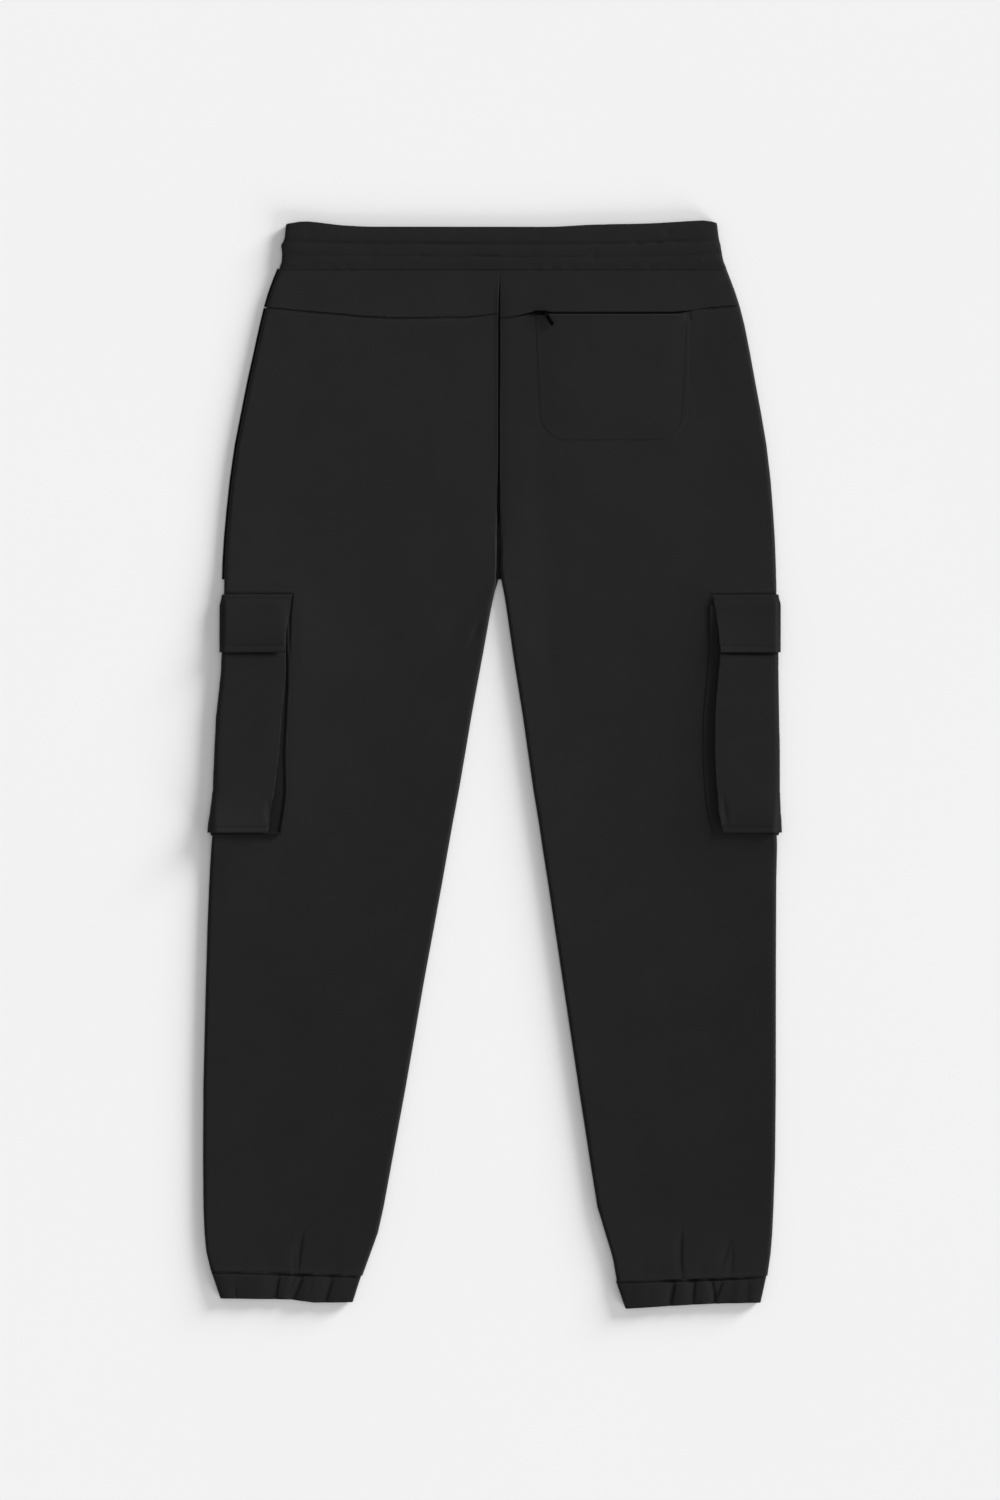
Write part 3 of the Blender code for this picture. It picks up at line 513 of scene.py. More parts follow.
def lay_creases(piece, creases=(), furrows=(), weight=upper_weight):
    """Raise or lower a piece's points; weight(points, normals) says how much each point follows."""
    points, across, drop = measured(piece)
    rise = sum(crease_rise(crease, across, drop) for crease in creases)
    rise = rise + sum(furrow_rise(furrow, across, drop) for furrow in furrows)
    heights = points[:, 2] + rise * weight(points, read_normals(piece)) * MM
    if weight is upper_weight:
        heights = np.maximum(heights, np.minimum(points[:, 2], LOWEST_OUTSIDE * MM))
    points[:, 2] = heights
    write_points(piece, points)


print("a crease has", len(Crease._fields), "sizes, a furrow", len(Furrow._fields))

# %% [markdown]
# ## Finishing a cloth piece
#
# Every cloth piece takes its knit, rides on the garment and stands in for its plain solid. We also note the
# size that it was cut to, and what else is sewn to it, for the end of the lesson.

# %% Finish a cloth piece
Cut = namedtuple("Cut", "width length area", defaults=(None,))
Sheet = namedtuple("Sheet", "piece cut rests_on sewn")
sheets, folds = {}, {}


def finish_cloth(piece, node, material, cut, rests_on=()):
    piece.data.materials.clear()
    piece.data.materials.append(material)
    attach(piece, "garment")
    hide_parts(node)
    sheets[node] = Sheet(piece, cut, list(rests_on), [folds[node]] if node in folds else [])
    print(piece.name, "has", len(piece.data.polygons), "faces")


# %% [markdown]
# ## Folded edges inside the seams
#
# A seam joins two edges that are folded in and sewn face to face, so one can't look through it. Our panels
# stand a third of a millimetre apart, as cut pieces do. A thin strip inside each long seam stands for the
# folded edges: we take the rim of one panel, inset it from both faces of the cloth and extrude it across
# the seam. Along the centre back the seam is pressed open, so the strip lies deeper, and it is coloured
# near black, darker than the cloth: painted shade that makes the gap read black.

# %% Seam folds
SeamFold = namedtuple("SeamFold", "name node facing last_drop material half sunk steepest",
                      defaults=(band_knit, 0.9, 0, 0.8))
# The near-black colour of the centre-back strip is painted shade for the gap between the halves.
seam_gap_shade = knit_material("overlocked_edge_black_thread", "#0A0A0A", "#0E0E0E")
ANY_DROP, CUFF_RIM_DROP, CROTCH_DROP = 1200, 1010, 345
OPEN_SEAM = (CROTCH_DROP, seam_gap_shade, 4.5, 2.2, 0.3)
FOLD_INSET = 0.45
TO_HEMS, TO_WAIST, TO_RIGHT = Vector((0, -1, 0)), Vector((0, 1, 0)), Vector((1, 0, 0))
SEAM_FOLDS = (
    SeamFold("seam_fold_waist", "waistband", TO_HEMS, ANY_DROP),
    SeamFold("seam_fold_cuff_left", "cuff_left", TO_WAIST, CUFF_RIM_DROP),
    SeamFold("seam_fold_cuff_right", "cuff_right", TO_WAIST, CUFF_RIM_DROP),
    SeamFold("seam_fold_yoke", "yoke_left", TO_RIGHT, *OPEN_SEAM),
    SeamFold("seam_fold_back", "back_left", TO_RIGHT, *OPEN_SEAM),
    SeamFold("seam_fold_front", "front_left", TO_RIGHT, CROTCH_DROP),
)


def keep_faces(grid, faces):
    bmesh.ops.delete(grid, geom=list(set(grid.faces) - set(faces)), context="FACES")


def seam_fold(fold):
    """The seam's rim, inset from both faces of the cloth and given a depth."""
    grid = welded(fold.node)
    keep_faces(grid, [face for face in grid.faces if face.normal.dot(fold.facing) > fold.steepest
                      and (seam_top.y - face.calc_center_median().y) / MM < fold.last_drop])
    bmesh.ops.inset_region(grid, faces=grid.faces[:], thickness=FOLD_INSET * MM, use_even_offset=True,
                           use_boundary=True)
    keep_faces(grid, [face for face in grid.faces if all(len(edge.link_faces) == 2 for edge in face.edges)])
    sunk = Vector((0, 0, fold.sunk))
    bmesh.ops.translate(grid, verts=grid.verts, vec=(-fold.facing * fold.half - sunk) * MM)
    grown = bmesh.ops.extrude_face_region(grid, geom=grid.faces[:])
    far = [part for part in grown["geom"] if isinstance(part, bmesh.types.BMVert)]
    bmesh.ops.translate(grid, verts=far, vec=fold.facing * 2 * fold.half * MM)
    bmesh.ops.recalc_face_normals(grid, faces=grid.faces)
    return as_object(fold.name, grid)


for fold in SEAM_FOLDS:
    piece = seam_fold(fold)
    piece.data.materials.append(fold.material)
    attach(piece, "garment")
    folds[fold.node] = piece
    print(piece.name, "has", len(piece.data.polygons), "faces")

# %% [markdown]
# ## Back panels and yokes
#
# Each leg has one back panel, with a yoke sewn on above it. The main forms in the cloth are the centre-back
# seam, where the left half draws back from the right one and leaves a narrow black gap, the groove that
# opens from it towards the crotch, a long shallow trough in the wearer's right seat, and short gathers
# above the cuffs. The yoke's lower edge lies over the panel, and its shadow is the line across the seat.

# %% Seam lines
YOKE_LINE = {
    "left": ((-226, 81), (-188.6, 84.5), (-153.9, 87.4), (-106.4, 91), (-36, 90.6), (0, 86.6)),
    "right": ((-3.5, 91), (7.6, 91), (22.2, 87.9), (32.3, 86.3), (172, 86.3), (195, 82.2), (228, 80.1)),
}
YOKE_SHARE = {
    "left": ((-226, 0.5), (-190, 1), (-110, 1.2), (-20, 1), (0, 0.4)),
    "right": ((-3.5, 0.3), (10, 1), (32, 1), (36, 0.6), (172, 0.6), (178, 0.3), (194, 0.3), (196, 1),
              (228, 0.7)),
}
CENTRE_LINE = ((46, 0), (CROTCH_DROP, 0))
CENTRE_SHARE = ((52, 0), (60, 0.4), (72, 1.4), (97, 1.7), (108, 1), (245, 1), (330, 0.9), (345, 0.3))
SEAM_OPENS = ((50, 0), (62, 0.6), (74, 1.3), (97, 1.8), (225, 1.8), (265, 2.8), (335, 3.0), (350, 0.8),
              (362, 0))
SEAM_REACH = 7.0


def open_seam(piece):
    """Draw the left half's edge back from the centre-back seam."""
    points, across, drop = measured(piece)
    back = np.interp(drop, *np.array(SEAM_OPENS).T)
    points[:, 0] -= back * soft_step((across + SEAM_REACH) / SEAM_REACH) * MM
    write_points(piece, points)


def moved(line, shift):
    return tuple((spot, place + shift) for spot, place in line)


CENTRE_SEAM = {leg: Furrow("down", CENTRE_LINE, rise, reach, reach, CENTRE_SHARE)
               for leg, rise, reach in (("left", 0.3, 3.5), ("right", -0.4, 4.5))}
print("the yoke seam is", max(place for _, place in YOKE_LINE["left"]), "mm down at its lowest")

# %% Creases of the back
BACK_CREASES = [Crease(*row) for row in (
    (-8, 0, -8, 330, 0, 60, 24, -0.75),
    (-0.5, 200, 0, 345, 0, 4, 16, -0.4),
    (30, 180, 48, 460, 4, 14, 18, -0.7),
    (-17, 374, -30, 405, 1, 3, 2, -0.9),
    (179, 82, 181.5, 97, 0, 4, 1.2, -0.6),
    (-6, 335, -60, 420, -2, 12, 9, -0.4),
    (8, 335, 50, 430, 3, 9, 13, -0.4),
    (-215, 140, -150, 170, 3, 9, 12, -0.35),
    (-250, 640, -170, 655, -2, 10, 14, -0.35),
    (214, 470, 120, 520, 4, 12, 16, -0.3),
    (-120, 700, -90, 860, 3, 14, 18, -0.3),
    (150, 660, 170, 850, -4, 16, 14, -0.3),
    (-184.4, 952, -191, 1006, -2, 6, 1.2, -0.9),
    (-196, 974, -195, 1004, 0, 3, 1.2, -0.3),
    (174.6, 948, 175.3, 1014, -3, 6, 1.2, -0.9),
    (221, 960, 208.5, 998, 0, 5, 1.6, -0.6),
    (221, 964, 219.5, 1010, 0, 5, 1.6, -0.5),
    (-243, 968, -246, 1004, 1, 5, 4, -0.2),
    (-221, 980, -222, 1004, 0, 4, 5, -0.2),
    (-152, 976, -158, 1004, 0, 5, 4, -0.2),
    (136, 978, 134, 1010, 0, 5, 4, -0.2),
    (191, 984, 190, 1008, 0, 4, 4, -0.2),
)]
print(len(BACK_CREASES), "creases, the longest", round(max(math.dist(c[:2], c[2:4]) for c in BACK_CREASES)), "mm")

# %% Back panels
SEAM_FIRMNESS = 0.7
INSIDE_CELL, BODY_CELL, DETAIL_CELL = 18.0, 6.0, 2.0
DETAILS = (((-16, 40), (34, 350)), ((-300, 80), (300, 96)), ((-300, 344), (-190, 360)), ((190, 344), (300, 360)),
           ((-210, 360), (-188, 424)), ((-300, 944), (300, 1010)))
BACK_LATTICES = [*two_sided(INSIDE_CELL, BODY_CELL),
                 *(Lattice(DETAIL_CELL, UPWARD, *corners) for corners in DETAILS)]
FLAP_SEAM = {"left": ((-275, 353.3), (-196.5, 353.9)), "right": ((200, 355.4), (280, 353.3))}
FLAP_SIDE = ((355, -197.4), (372, -199.2), (424, -201))
FLAP_SIDE_SHARE = ((355, 0.6), (361, 1), (396, 1), (416, 0.2))
CUFF_LINE = {"left": ((-284, 996), (-200, 997.8), (-116, 1001.2)), "right": ((98, 1006.5), (262, 1000.5))}
CUFF_SHARE = {
    "left": ((-284, 0.4), (-268, 1), (-212, 1), (-204, 1.5), (-190, 1.6), (-160, 1), (-140, 0.8),
             (-116, 0.4)),
    "right": ((98, 0.4), (112, 0.9), (170, 1), (182, 1.5), (228, 1.5), (236, 1), (262, 0.6)),
}
MOUTH_TOP, MOUTH_END, MOUTH_SIDE = 346, 430, 168


def under_pocket_mouth(points):
    """Where the leg steps up under a cargo pocket's mouth."""
    across, drop = tailor_coordinates(points)
    return (drop > MOUTH_TOP) & (drop < MOUTH_END) & (np.abs(across) > MOUTH_SIDE)


cloth = {}
for leg in ("left", "right"):
    node = "back_" + leg
    panel = cut_copy(node, BACK_LATTICES, SEAM_FIRMNESS)
    settle(panel, rounds=300, level=0.85, wanted=under_pocket_mouth)
    settle(panel, rounds=160)
    soften(panel)
    lay_creases(panel, BACK_CREASES, [
        CENTRE_SEAM[leg],
        Furrow("across", moved(YOKE_LINE[leg], 0.8), -0.6, 2.2, 2.2, YOKE_SHARE[leg]),
        Furrow("across", moved(FLAP_SEAM[leg], -3), 0.3, 2.2, 1.5),
        Furrow("across", FLAP_SEAM[leg], -1.0, 1.2, 1.6),
        Furrow("down", FLAP_SIDE, -2.0, 3.0, 0.8, FLAP_SIDE_SHARE),
        Furrow("across", moved(CUFF_LINE[leg], -0.8), 0.5, 3.0, 3.0, CUFF_SHARE[leg]),
    ])
    if leg == "left":
        open_seam(panel)
    cloth[node] = panel
    finish_cloth(panel, node, fleece[leg], Cut(0.290, 0.928, 0.202), ["front_" + leg])

# %% Yokes
WAIST_DROP, WAIST_TUCK = 45.3, 0.26


def tuck_up(piece):
    """Close most of the gap between a yoke and the waistband, whose seam hardly shows."""
    points, _, drop = measured(piece)
    near = 1 - soft_step((drop - WAIST_DROP) / 4)
    points[:, 1] += WAIST_TUCK * MM * near
    write_points(piece, points)


for leg, width, area in (("left", 0.232, 0.0098), ("right", 0.237, 0.0098)):
    node = "yoke_" + leg
    yoke = cut_copy(node, two_sided(12.0, 2.5), SEAM_FIRMNESS)
    settle(yoke, rounds=60)
    soften(yoke)
    lay_creases(yoke, BACK_CREASES, [
        CENTRE_SEAM[leg],
        Furrow("across", moved(YOKE_LINE[leg], -0.6), 0.35, 5, 3, YOKE_SHARE[leg]),
    ])
    tuck_up(yoke)
    if leg == "left":
        open_seam(yoke)
    cloth[node] = yoke
    finish_cloth(yoke, node, fleece[leg], Cut(width, 0.047, area), ["front_" + leg])

# %% [markdown]
# ## Front panels
#
# The fronts are underneath, face down. Their outer face rests on the floor, so its folds can only be
# hollows: the crotch pulls a few towards the thighs, and the cuffs gather the hems as on the back.

# %% Front panels
FRONT_CREASES = [Crease(*row) for row in (
    (-5, 325, -70, 400, 2, 9, 12, 0.7),
    (6, 325, 75, 410, -2, 12, 9, 0.7),
    (-6, 300, -90, 330, 1, 8, 10, 0.5),
    (7, 300, 85, 345, 1, 10, 8, 0.5),
    (-200, 150, -120, 190, 3, 10, 12, 0.45),
    (205, 160, 130, 190, -3, 12, 10, 0.45),
    (-235, 620, -160, 650, 3, 12, 14, 0.5),
    (230, 640, 165, 655, -3, 14, 12, 0.5),
    (-246, 965, -250, 1000, 0, 6, 5, 0.6),
    (-222, 955, -224, 1000, 1, 5, 6, 0.7),
    (-193, 970, -196, 1000, 0, 5, 5, 0.6),
    (-160, 960, -165, 1000, -1, 6, 5, 0.7),
    (137, 965, 135, 1005, 0, 6, 5, 0.6),
    (161, 955, 160, 1005, 1, 5, 6, 0.7),
    (190, 970, 192, 1005, 0, 5, 5, 0.6),
    (219, 960, 222, 1005, 0, 6, 5, 0.7),
)]
for leg in ("left", "right"):
    node = "front_" + leg
    panel = cut_copy(node, [Lattice(20.0, UPWARD), Lattice(9.0, DOWNWARD)], SEAM_FIRMNESS)
    settle(panel, rounds=10)
    soften(panel)
    lay_creases(panel, FRONT_CREASES, weight=under_weight)
    finish_cloth(panel, node, fleece[leg], Cut(0.290, 0.966, 0.211))

# %% [markdown]
# ## Waistband
#
# One strip of knit is folded round a broad elastic and quilted to it with two rows of stitching. Where the
# stitching pulls, the band has a furrow. The upper one is long and clear, the lower one comes and goes, and
# a few short puckers sit between. We let the solid's own even grooves settle first, and lay the uneven
# ones in their place.

# %% Waistband
WAIST_ROWS = (((-208, 18.5), (-147, 20.3), (0, 21.3), (114, 20.8), (206, 17.5)),
              ((-207, 30.5), (-90, 32), (-25, 32.8), (60, 33), (150, 32.4), (207, 30)))
UPPER_PULL = ((-208, 0.3), (-150, 0.9), (-90, 0.9), (-60, 1.6), (-32, 1.6), (-20, 1), (114, 1), (125, 0.4),
              (130, 1.4), (136, 0.5), (150, 1.2), (156, 0.5), (170, 1.3), (178, 0.4), (206, 0.3))
LOWER_PULL = ((-207, 0.4), (-82, 0.35), (-76, 1.9), (-70, 0.35), (-30, 0.5), (-22, 2.6), (-4, 2.6), (2, 0.5),
              (90, 0.35), (96, 0.7), (190, 0.6), (207, 0.3))
waistband = cut_copy("waistband", two_sided(6.0, 2.5), SEAM_FIRMNESS)
settle(waistband, rounds=24, level=0.8)
soften(waistband)
lay_creases(waistband, [Crease(*row) for row in (
    (-180, 2, -181, 18, 0, 4, 5, -0.35),
    (-120, 24, -122, 44, 0, 5, 4, -0.3),
    (38, 6, 36, 20, 0, 4, 4, -0.3),
    (88, 24, 90, 42, 0, 4, 5, -0.35),
    (160, 4, 158, 17, 0, 4, 4, -0.4),
)], [
    Furrow("across", WAIST_ROWS[0], -0.7, 1.3, 2.4, UPPER_PULL),
    Furrow("across", WAIST_ROWS[1], -0.35, 1.4, 2.0, LOWER_PULL),
    Furrow("across", ((-215, 45), (215, 45)), -0.8, 12, 3),
])
finish_cloth(waistband, "waistband", band_knit, Cut(0.85, 0.045))

# %% [markdown]
# ## Cuffs
#
# Each leg ends in a narrow casing, a fold of cloth over elastic. Relaxed elastic gathers it, and laid flat
# the gathers are pressed into a few sharp creases, deepest near the middle of the leg. On the right cuff
# two of them run together like a Y.

# %% Cuffs
CUFF_CREASES = [Crease(*row) for row in (
    (-251.8, 1006, -249.3, 1028, 0, 5, 0.9, -0.5),
    (-231, 1000, -232, 1018, 0, 5, 3, -0.2),
    (-206.6, 990, -213.6, 1032, -1, 6, 0.9, -0.9),
    (-182.6, 988, -200.6, 1033, 1, 6, 1.0, -1.1),
    (-192, 996, -200, 1015, 0, 3, 0.9, -0.5),
    (-175, 996, -183, 1024, 0, 3, 1.2, -0.25),
    (-156, 990, -169.2, 1035, 1, 6, 1.0, -0.9),
    (-141, 998, -144, 1026, 0, 4, 3, -0.2),
    (124, 1008, 122, 1034, 0, 4, 4, -0.2),
    (143, 1005, 140, 1032, 0, 4, 3, -0.25),
    (166.6, 998, 159.4, 1038, 1, 5, 1.0, -1.5),
    (186, 988, 183.1, 1036, 0, 5, 0.9, -1.1),
    (200, 996, 204.6, 1026, 0, 4, 1.0, -0.9),
    (214.8, 996, 203.4, 1027, 0, 4, 1.0, -0.9),
    (204.1, 1010, 204, 1038, 0, 4, 1.0, -1.0),
    (222, 1002, 221, 1022, 0, 3, 2, -0.2),
    (236.2, 996, 234.3, 1036, 0, 6, 2, -0.5),
)]
for leg in ("left", "right"):
    node = "cuff_" + leg
    cuff = cut_copy(node, two_sided(5.0, 1.8), SEAM_FIRMNESS)
    settle(cuff, rounds=40, level=0.75)
    soften(cuff)
    lay_creases(cuff, CUFF_CREASES,
                [Furrow("across", moved(CUFF_LINE[leg], 1.0), -1.5, 2.0, 2.2, CUFF_SHARE[leg])])
    finish_cloth(cuff, node, band_knit, Cut(0.286, 0.028))

# %% [markdown]
# ## Cargo pockets
#
# A cargo pocket is three pieces: a face that wraps round the side of the leg, a narrow gusset that lets it
# stand away, and a flap over its mouth. On the solids the face is dished. Pressed for the photograph it
# lies flat between its edges, so it settles for many rounds, and the flap is raised with it. Towards the
# top everything is sewn down, so there the whole stack is pressed nearly onto the leg. The gusset is a
# hollow fold behind a small ridge at its seam, and its knit is coloured darker than the leg's: painted
# shade that keeps it dark even on the side that faces the light.

# %% What lies under a point
def surface_below(piece, points, facing=UPWARD):
    """The height of a piece's upper (or lower) face at each point, in metres, or nan where it isn't there."""
    tree = BVHTree.FromObject(piece, bpy.context.evaluated_depsgraph_get())
    heights = np.full(len(points), np.nan)
    for i, (x, y, _) in enumerate(points):
        hit = tree.ray_cast(Vector((x, y, 0.1 * facing)), Vector((0, 0, -facing)))[0]
        if hit is not None:
            heights[i] = hit.z
    return heights


LEG_SIDE, LEG_ROLLS_OVER = 5.4, 1.6


def above_leg(points, skin):
    """How much each point follows the leg's upper face: not at all underneath or on the rolled side."""
    on_leg = points[:, 2] > np.nan_to_num(skin) - 0.1 * MM
    return np.nan_to_num(soft_step((skin / MM - LEG_SIDE) / LEG_ROLLS_OVER)) * on_leg


print("pockets lie on", cloth["back_left"].name, "and", cloth["back_right"].name)

# %% Flat faces, and flaps that follow them
FLATTEN_ROUNDS = 500
PRESS_START, PRESS_END, PRESSED = 364.0, 411.0, 0.2
STANDS = {"left": 0.7, "right": 0.55}
GUSSET_STANDS = {"left": 0.7, "right": 0.15}
SIDE_HEIGHT = 8.0


def flatten_pair(face, flap):
    """Stretch a pocket's face flat and raise the flap over it by as much."""
    before = read_points(face)
    settle(face, FLATTEN_ROUNDS, level=0.93)
    gained = read_points(face)[:, 2] - before[:, 2]
    upper = np.flatnonzero((read_normals(face)[:, 2] > 0.9) & (before[:, 2] > 6 * MM))
    nearest = KDTree(len(upper))
    for i in upper:
        nearest.insert((before[i, 0], before[i, 1], 0), int(i))
    nearest.balance()
    points = read_points(flap)
    skin = surface_below(cloth["back_" + face.name.split("_")[2]], points)
    share = above_leg(points, skin)
    for i in np.flatnonzero(share):
        points[i, 2] += gained[nearest.find((points[i, 0], points[i, 1], 0))[1]] * share[i]
    write_points(flap, points)
    print(face.name, "rose by up to", round(float(gained[upper].max()) / MM, 1), "mm")


def press_down(piece, leg, stands):
    """Press a pocket piece towards the leg: a little everywhere, nearly flat where its top is sewn down."""
    points, _, drop = measured(piece)
    skin = np.nan_to_num(surface_below(cloth["back_" + leg], points))
    level = np.maximum(skin, SIDE_HEIGHT * MM)
    kept = PRESSED + (stands[leg] - PRESSED) * soft_step((drop - PRESS_START) / (PRESS_END - PRESS_START))
    points[:, 2] -= (1 - kept) * np.maximum(points[:, 2] - level, 0)
    write_points(piece, points)


# %% The gusset's hollow
SEAM_BIN = 3.0
GUSSET_RIDGE = {"left": 0.35, "right": 0.0}
GUSSET_HOLLOW = {"left": 1.2, "right": 0.0}
RIDGE_FROM_SEAM, RIDGE_REACH = 1.3, 1.2
HOLLOW_FROM_SEAM, HOLLOW_REACH = 1.6, 2.2
GUSSET_OUTSIDE, GUSSET_INSIDE = 0.3, 0.05


def from_gusset_seam(across, drop, inward):
    """The distance of each point from the gusset's seam on the leg, beside and below the face, in mm."""
    along = across * inward
    gaps = []
    for runs, reaches in ((drop, along), (along, drop)):
        bins = np.round(runs / SEAM_BIN).astype(int)
        used = np.unique(bins)
        outermost = np.array([reaches[bins == number].max() for number in used])
        gaps.append(np.interp(runs, used * SEAM_BIN, outermost) - reaches)
    return np.minimum(*gaps)


def hollow_gusset(piece, leg):
    points, across, drop = measured(piece)
    skin = surface_below(cloth["back_" + leg], points)
    gap = from_gusset_seam(across, drop, 1 if leg == "left" else -1)
    ridge = GUSSET_RIDGE[leg] * np.exp(-((gap - RIDGE_FROM_SEAM) / RIDGE_REACH) ** 2)
    rise = ridge - GUSSET_HOLLOW[leg] * soft_step((gap - HOLLOW_FROM_SEAM) / HOLLOW_REACH)
    above = np.where(read_normals(piece)[:, 2] > 0, GUSSET_OUTSIDE, GUSSET_INSIDE)
    fallen = points[:, 2] + rise * above_leg(points, skin) * MM
    points[:, 2] = np.fmax(fallen, np.fmin(points[:, 2], skin + above * MM))
    write_points(piece, points)


# %% Make the cargo pockets
POCKET_FIRMNESS = 0.5
POCKET_CUTS = {"cargo_face": Cut(0.125, 0.216), "cargo_flap": Cut(0.130, 0.055),
               "cargo_gusset": Cut(0.0105, 0.55)}
FLAP_EDGE = {"left": ((-300, 408.6), (-200, 408)), "right": ((200, 408.2), (290, 410))}
TUCKED = {"left": ((-262, 0.5), (-238, 0.9), (-228, 1.1), (-210, 1.1), (-202, 0.8)),
          "right": ((205, 0.7), (215, 1), (222, 1.2), (246, 1.2), (258, 0.8), (272, 0.4))}
FACE_EDGE = {"left": ((-300, 580), (-200, 580)), "right": ((200, 580), (290, 580))}
FLAP_HEM, FLAP_TOP, FACE_HEM = -5.6, 4, -5.2
FACE_CREASES = {
    "left": [Crease(-219.5, 545, -219, 578, 0, 3, 2.4, -0.9),
             Crease(-216.4, 559, -216, 578, 0, 1.4, 1.8, 0.4)],
    "right": [Crease(210, 540, 216, 578, 0, 2, 2.6, -0.7), Crease(206.5, 552, 211, 580, 0, 1.6, 2, 0.4)],
}
for leg in ("left", "right"):
    face, flap, gusset = (
        cut_copy(kind + "_" + leg, two_sided(7.0, cell), POCKET_FIRMNESS)
        for kind, cell in zip(POCKET_CUTS, (2.5, 2.2, 1.8)))
    flatten_pair(face, flap)
    settle(flap, rounds=60, level=0.93)
    for piece in (face, flap, gusset):
        press_down(piece, leg, GUSSET_STANDS if piece is gusset else STANDS)
        soften(piece)
    hollow_gusset(gusset, leg)
    lay_creases(gusset, furrows=[Furrow("down", FLAP_SIDE, -0.8, 3.5, 1.2, FLAP_SIDE_SHARE)])
    lay_creases(face, FACE_CREASES[leg], [
        Furrow("across", moved(FACE_EDGE[leg], FACE_HEM), -0.45, 1.3, 1.3),
        Furrow("across", moved(FACE_EDGE[leg], -2.2), 0.35, 1.8, 3),
        Furrow("across", moved(FLAP_EDGE[leg], 0.9), -2.0, 3.5, 1.3, TUCKED[leg]),
    ])
    lay_creases(flap, furrows=[
        Furrow("across", moved(FLAP_EDGE[leg], FLAP_HEM), -0.5, 1.3, 1.3),
        Furrow("across", FLAP_EDGE[leg], 0.8, 3.2, 4),
        Furrow("across", moved(FLAP_SEAM[leg], FLAP_TOP), -0.35, 1.2, 1.2),
    ])
    for piece, (kind, cut) in zip((face, flap, gusset), POCKET_CUTS.items()):
        node = kind + "_" + leg
        finish_cloth(piece, node, pocket_knit[node], cut)

# %% [markdown]
# ## Hip pocket
#
# The hip pocket is one layer on the seat, edge-stitched and pressed so flat that it hardly shows, apart
# from its zip and the first part of its left edge. We press the copy towards the panel near its outline,
# which is a rounded rectangle that tapers downwards.

# %% Hip pocket
POCKET_SIDES, POCKET_BOTTOM = (33.5, 180.0), 208.0
POCKET_TAPER, POCKET_CORNER = 4.5, 27.0
ZIP_DROP = PIVOT_DROP
LIPS_LEAN, LIP_REACH = ((34, 0), (44, 0), (50, 0.98), (86, 0.95), (120, 0.8), (160, 0.75), (172, 0)), 7


def inside_pocket(across, drop):
    """How far inside the hip pocket's side and bottom edges each point lies, in mm."""
    narrow = POCKET_TAPER * np.clip((drop - ZIP_DROP) / (POCKET_BOTTOM - ZIP_DROP), 0, 1)
    middle, half = sum(POCKET_SIDES) / 2, (POCKET_SIDES[1] - POCKET_SIDES[0]) / 2
    beside = np.abs(across - middle) - (half - narrow - POCKET_CORNER)
    below = drop - (POCKET_BOTTOM - POCKET_CORNER)
    outside = np.hypot(np.maximum(beside, 0), np.maximum(below, 0)) + np.minimum(np.maximum(beside, below), 0)
    return POCKET_CORNER - outside


def bring_lips_together(piece):
    """Let the two edges of the zip's slit lean towards each other, more at its left end."""
    points, across, drop = measured(piece)
    along = np.interp(across, *np.array(LIPS_LEAN).T)
    away = drop - ZIP_DROP
    points[:, 1] += np.sign(away) * along * (1 - soft_step(np.abs(away) / LIP_REACH)) * MM
    write_points(piece, points)


pocket = cut_copy("back_pocket", two_sided(12.0, 2.5))
settle(pocket, rounds=40)
soften(pocket)
points, across, drop = measured(pocket)
skin = surface_below(cloth["back_right"], points)
beyond_zip = np.maximum(soft_step((across - 150) / 30), soft_step((36 - across) / 3))
flatter = 0.93 - 0.3 * soft_step(inside_pocket(across, drop) / 22)
flatter = flatter * np.maximum(soft_step((drop - 84) / 10), beyond_zip)
points[:, 2] -= np.nan_to_num((points[:, 2] - skin) * flatter)
write_points(pocket, points)
lay_creases(pocket, BACK_CREASES)
bring_lips_together(pocket)
bring_lips_together(cloth["yoke_right"])
finish_cloth(pocket, "back_pocket", pocket_knit["back_pocket"], Cut(0.147, 0.121, 0.0168),
             ["back_right"])

# %% [markdown]
# ## Zip
#
# The pocket closes with a small coil zip between its upper edge and the yoke. All that shows is a black
# slit with the slider and its pull tab at the left end. The tape is woven, so it gets a weave. Slider and
# tab are cast zinc under black lacquer.

# %% Zip tape
tape = cut_copy("zip_tape", [Lattice(4.0, BOTH)])
soften(tape)
finish_cloth(tape, "zip_tape", tape_weave, Cut(0.151, 0.016))

# %% Zip metal
metal, tree = new_material("black_lacquered_zinc")
grain = add(tree, "TexNoise", {"Vector": object_place(tree), "Scale": 2500.0})
worn = add(tree, "MapRange", {"Value": grain.outputs["Fac"], "To Min": 0.38, "To Max": 0.5})
surface(tree, {"Base Color": linear("#030303"), "Metallic": 0.0, "IOR": 1.5, "Specular IOR Level": 0.01,
               "Roughness": worn.outputs["Result"]})
for node in ("zip_slider", "zip_pull"):
    frame["nodes"][node].data.materials.clear()
    frame["nodes"][node].data.materials.append(metal)
print("metal on zip_slider and zip_pull")

# %% [markdown]
# ## Topstitching
#
# In a row of topstitching a thread comes up out of the cloth, lies on it for almost three millimetres and
# dives in again. One stitch is a thin six-sided rod whose ends are extruded, drawn in and bent down. We
# model it once, copy it along each row, turn and tilt every copy with the cloth under it, and join them.
# The loops of the zip's nylon coil come from the same recipe, laid across the slit instead of along it.

# %% One bent rod
scene.tool_settings.mesh_select_mode = (False, False, True)
ROD_ENDS = ((0.15, 0.25, 0.9), (0.10, 0.75, 0.7))


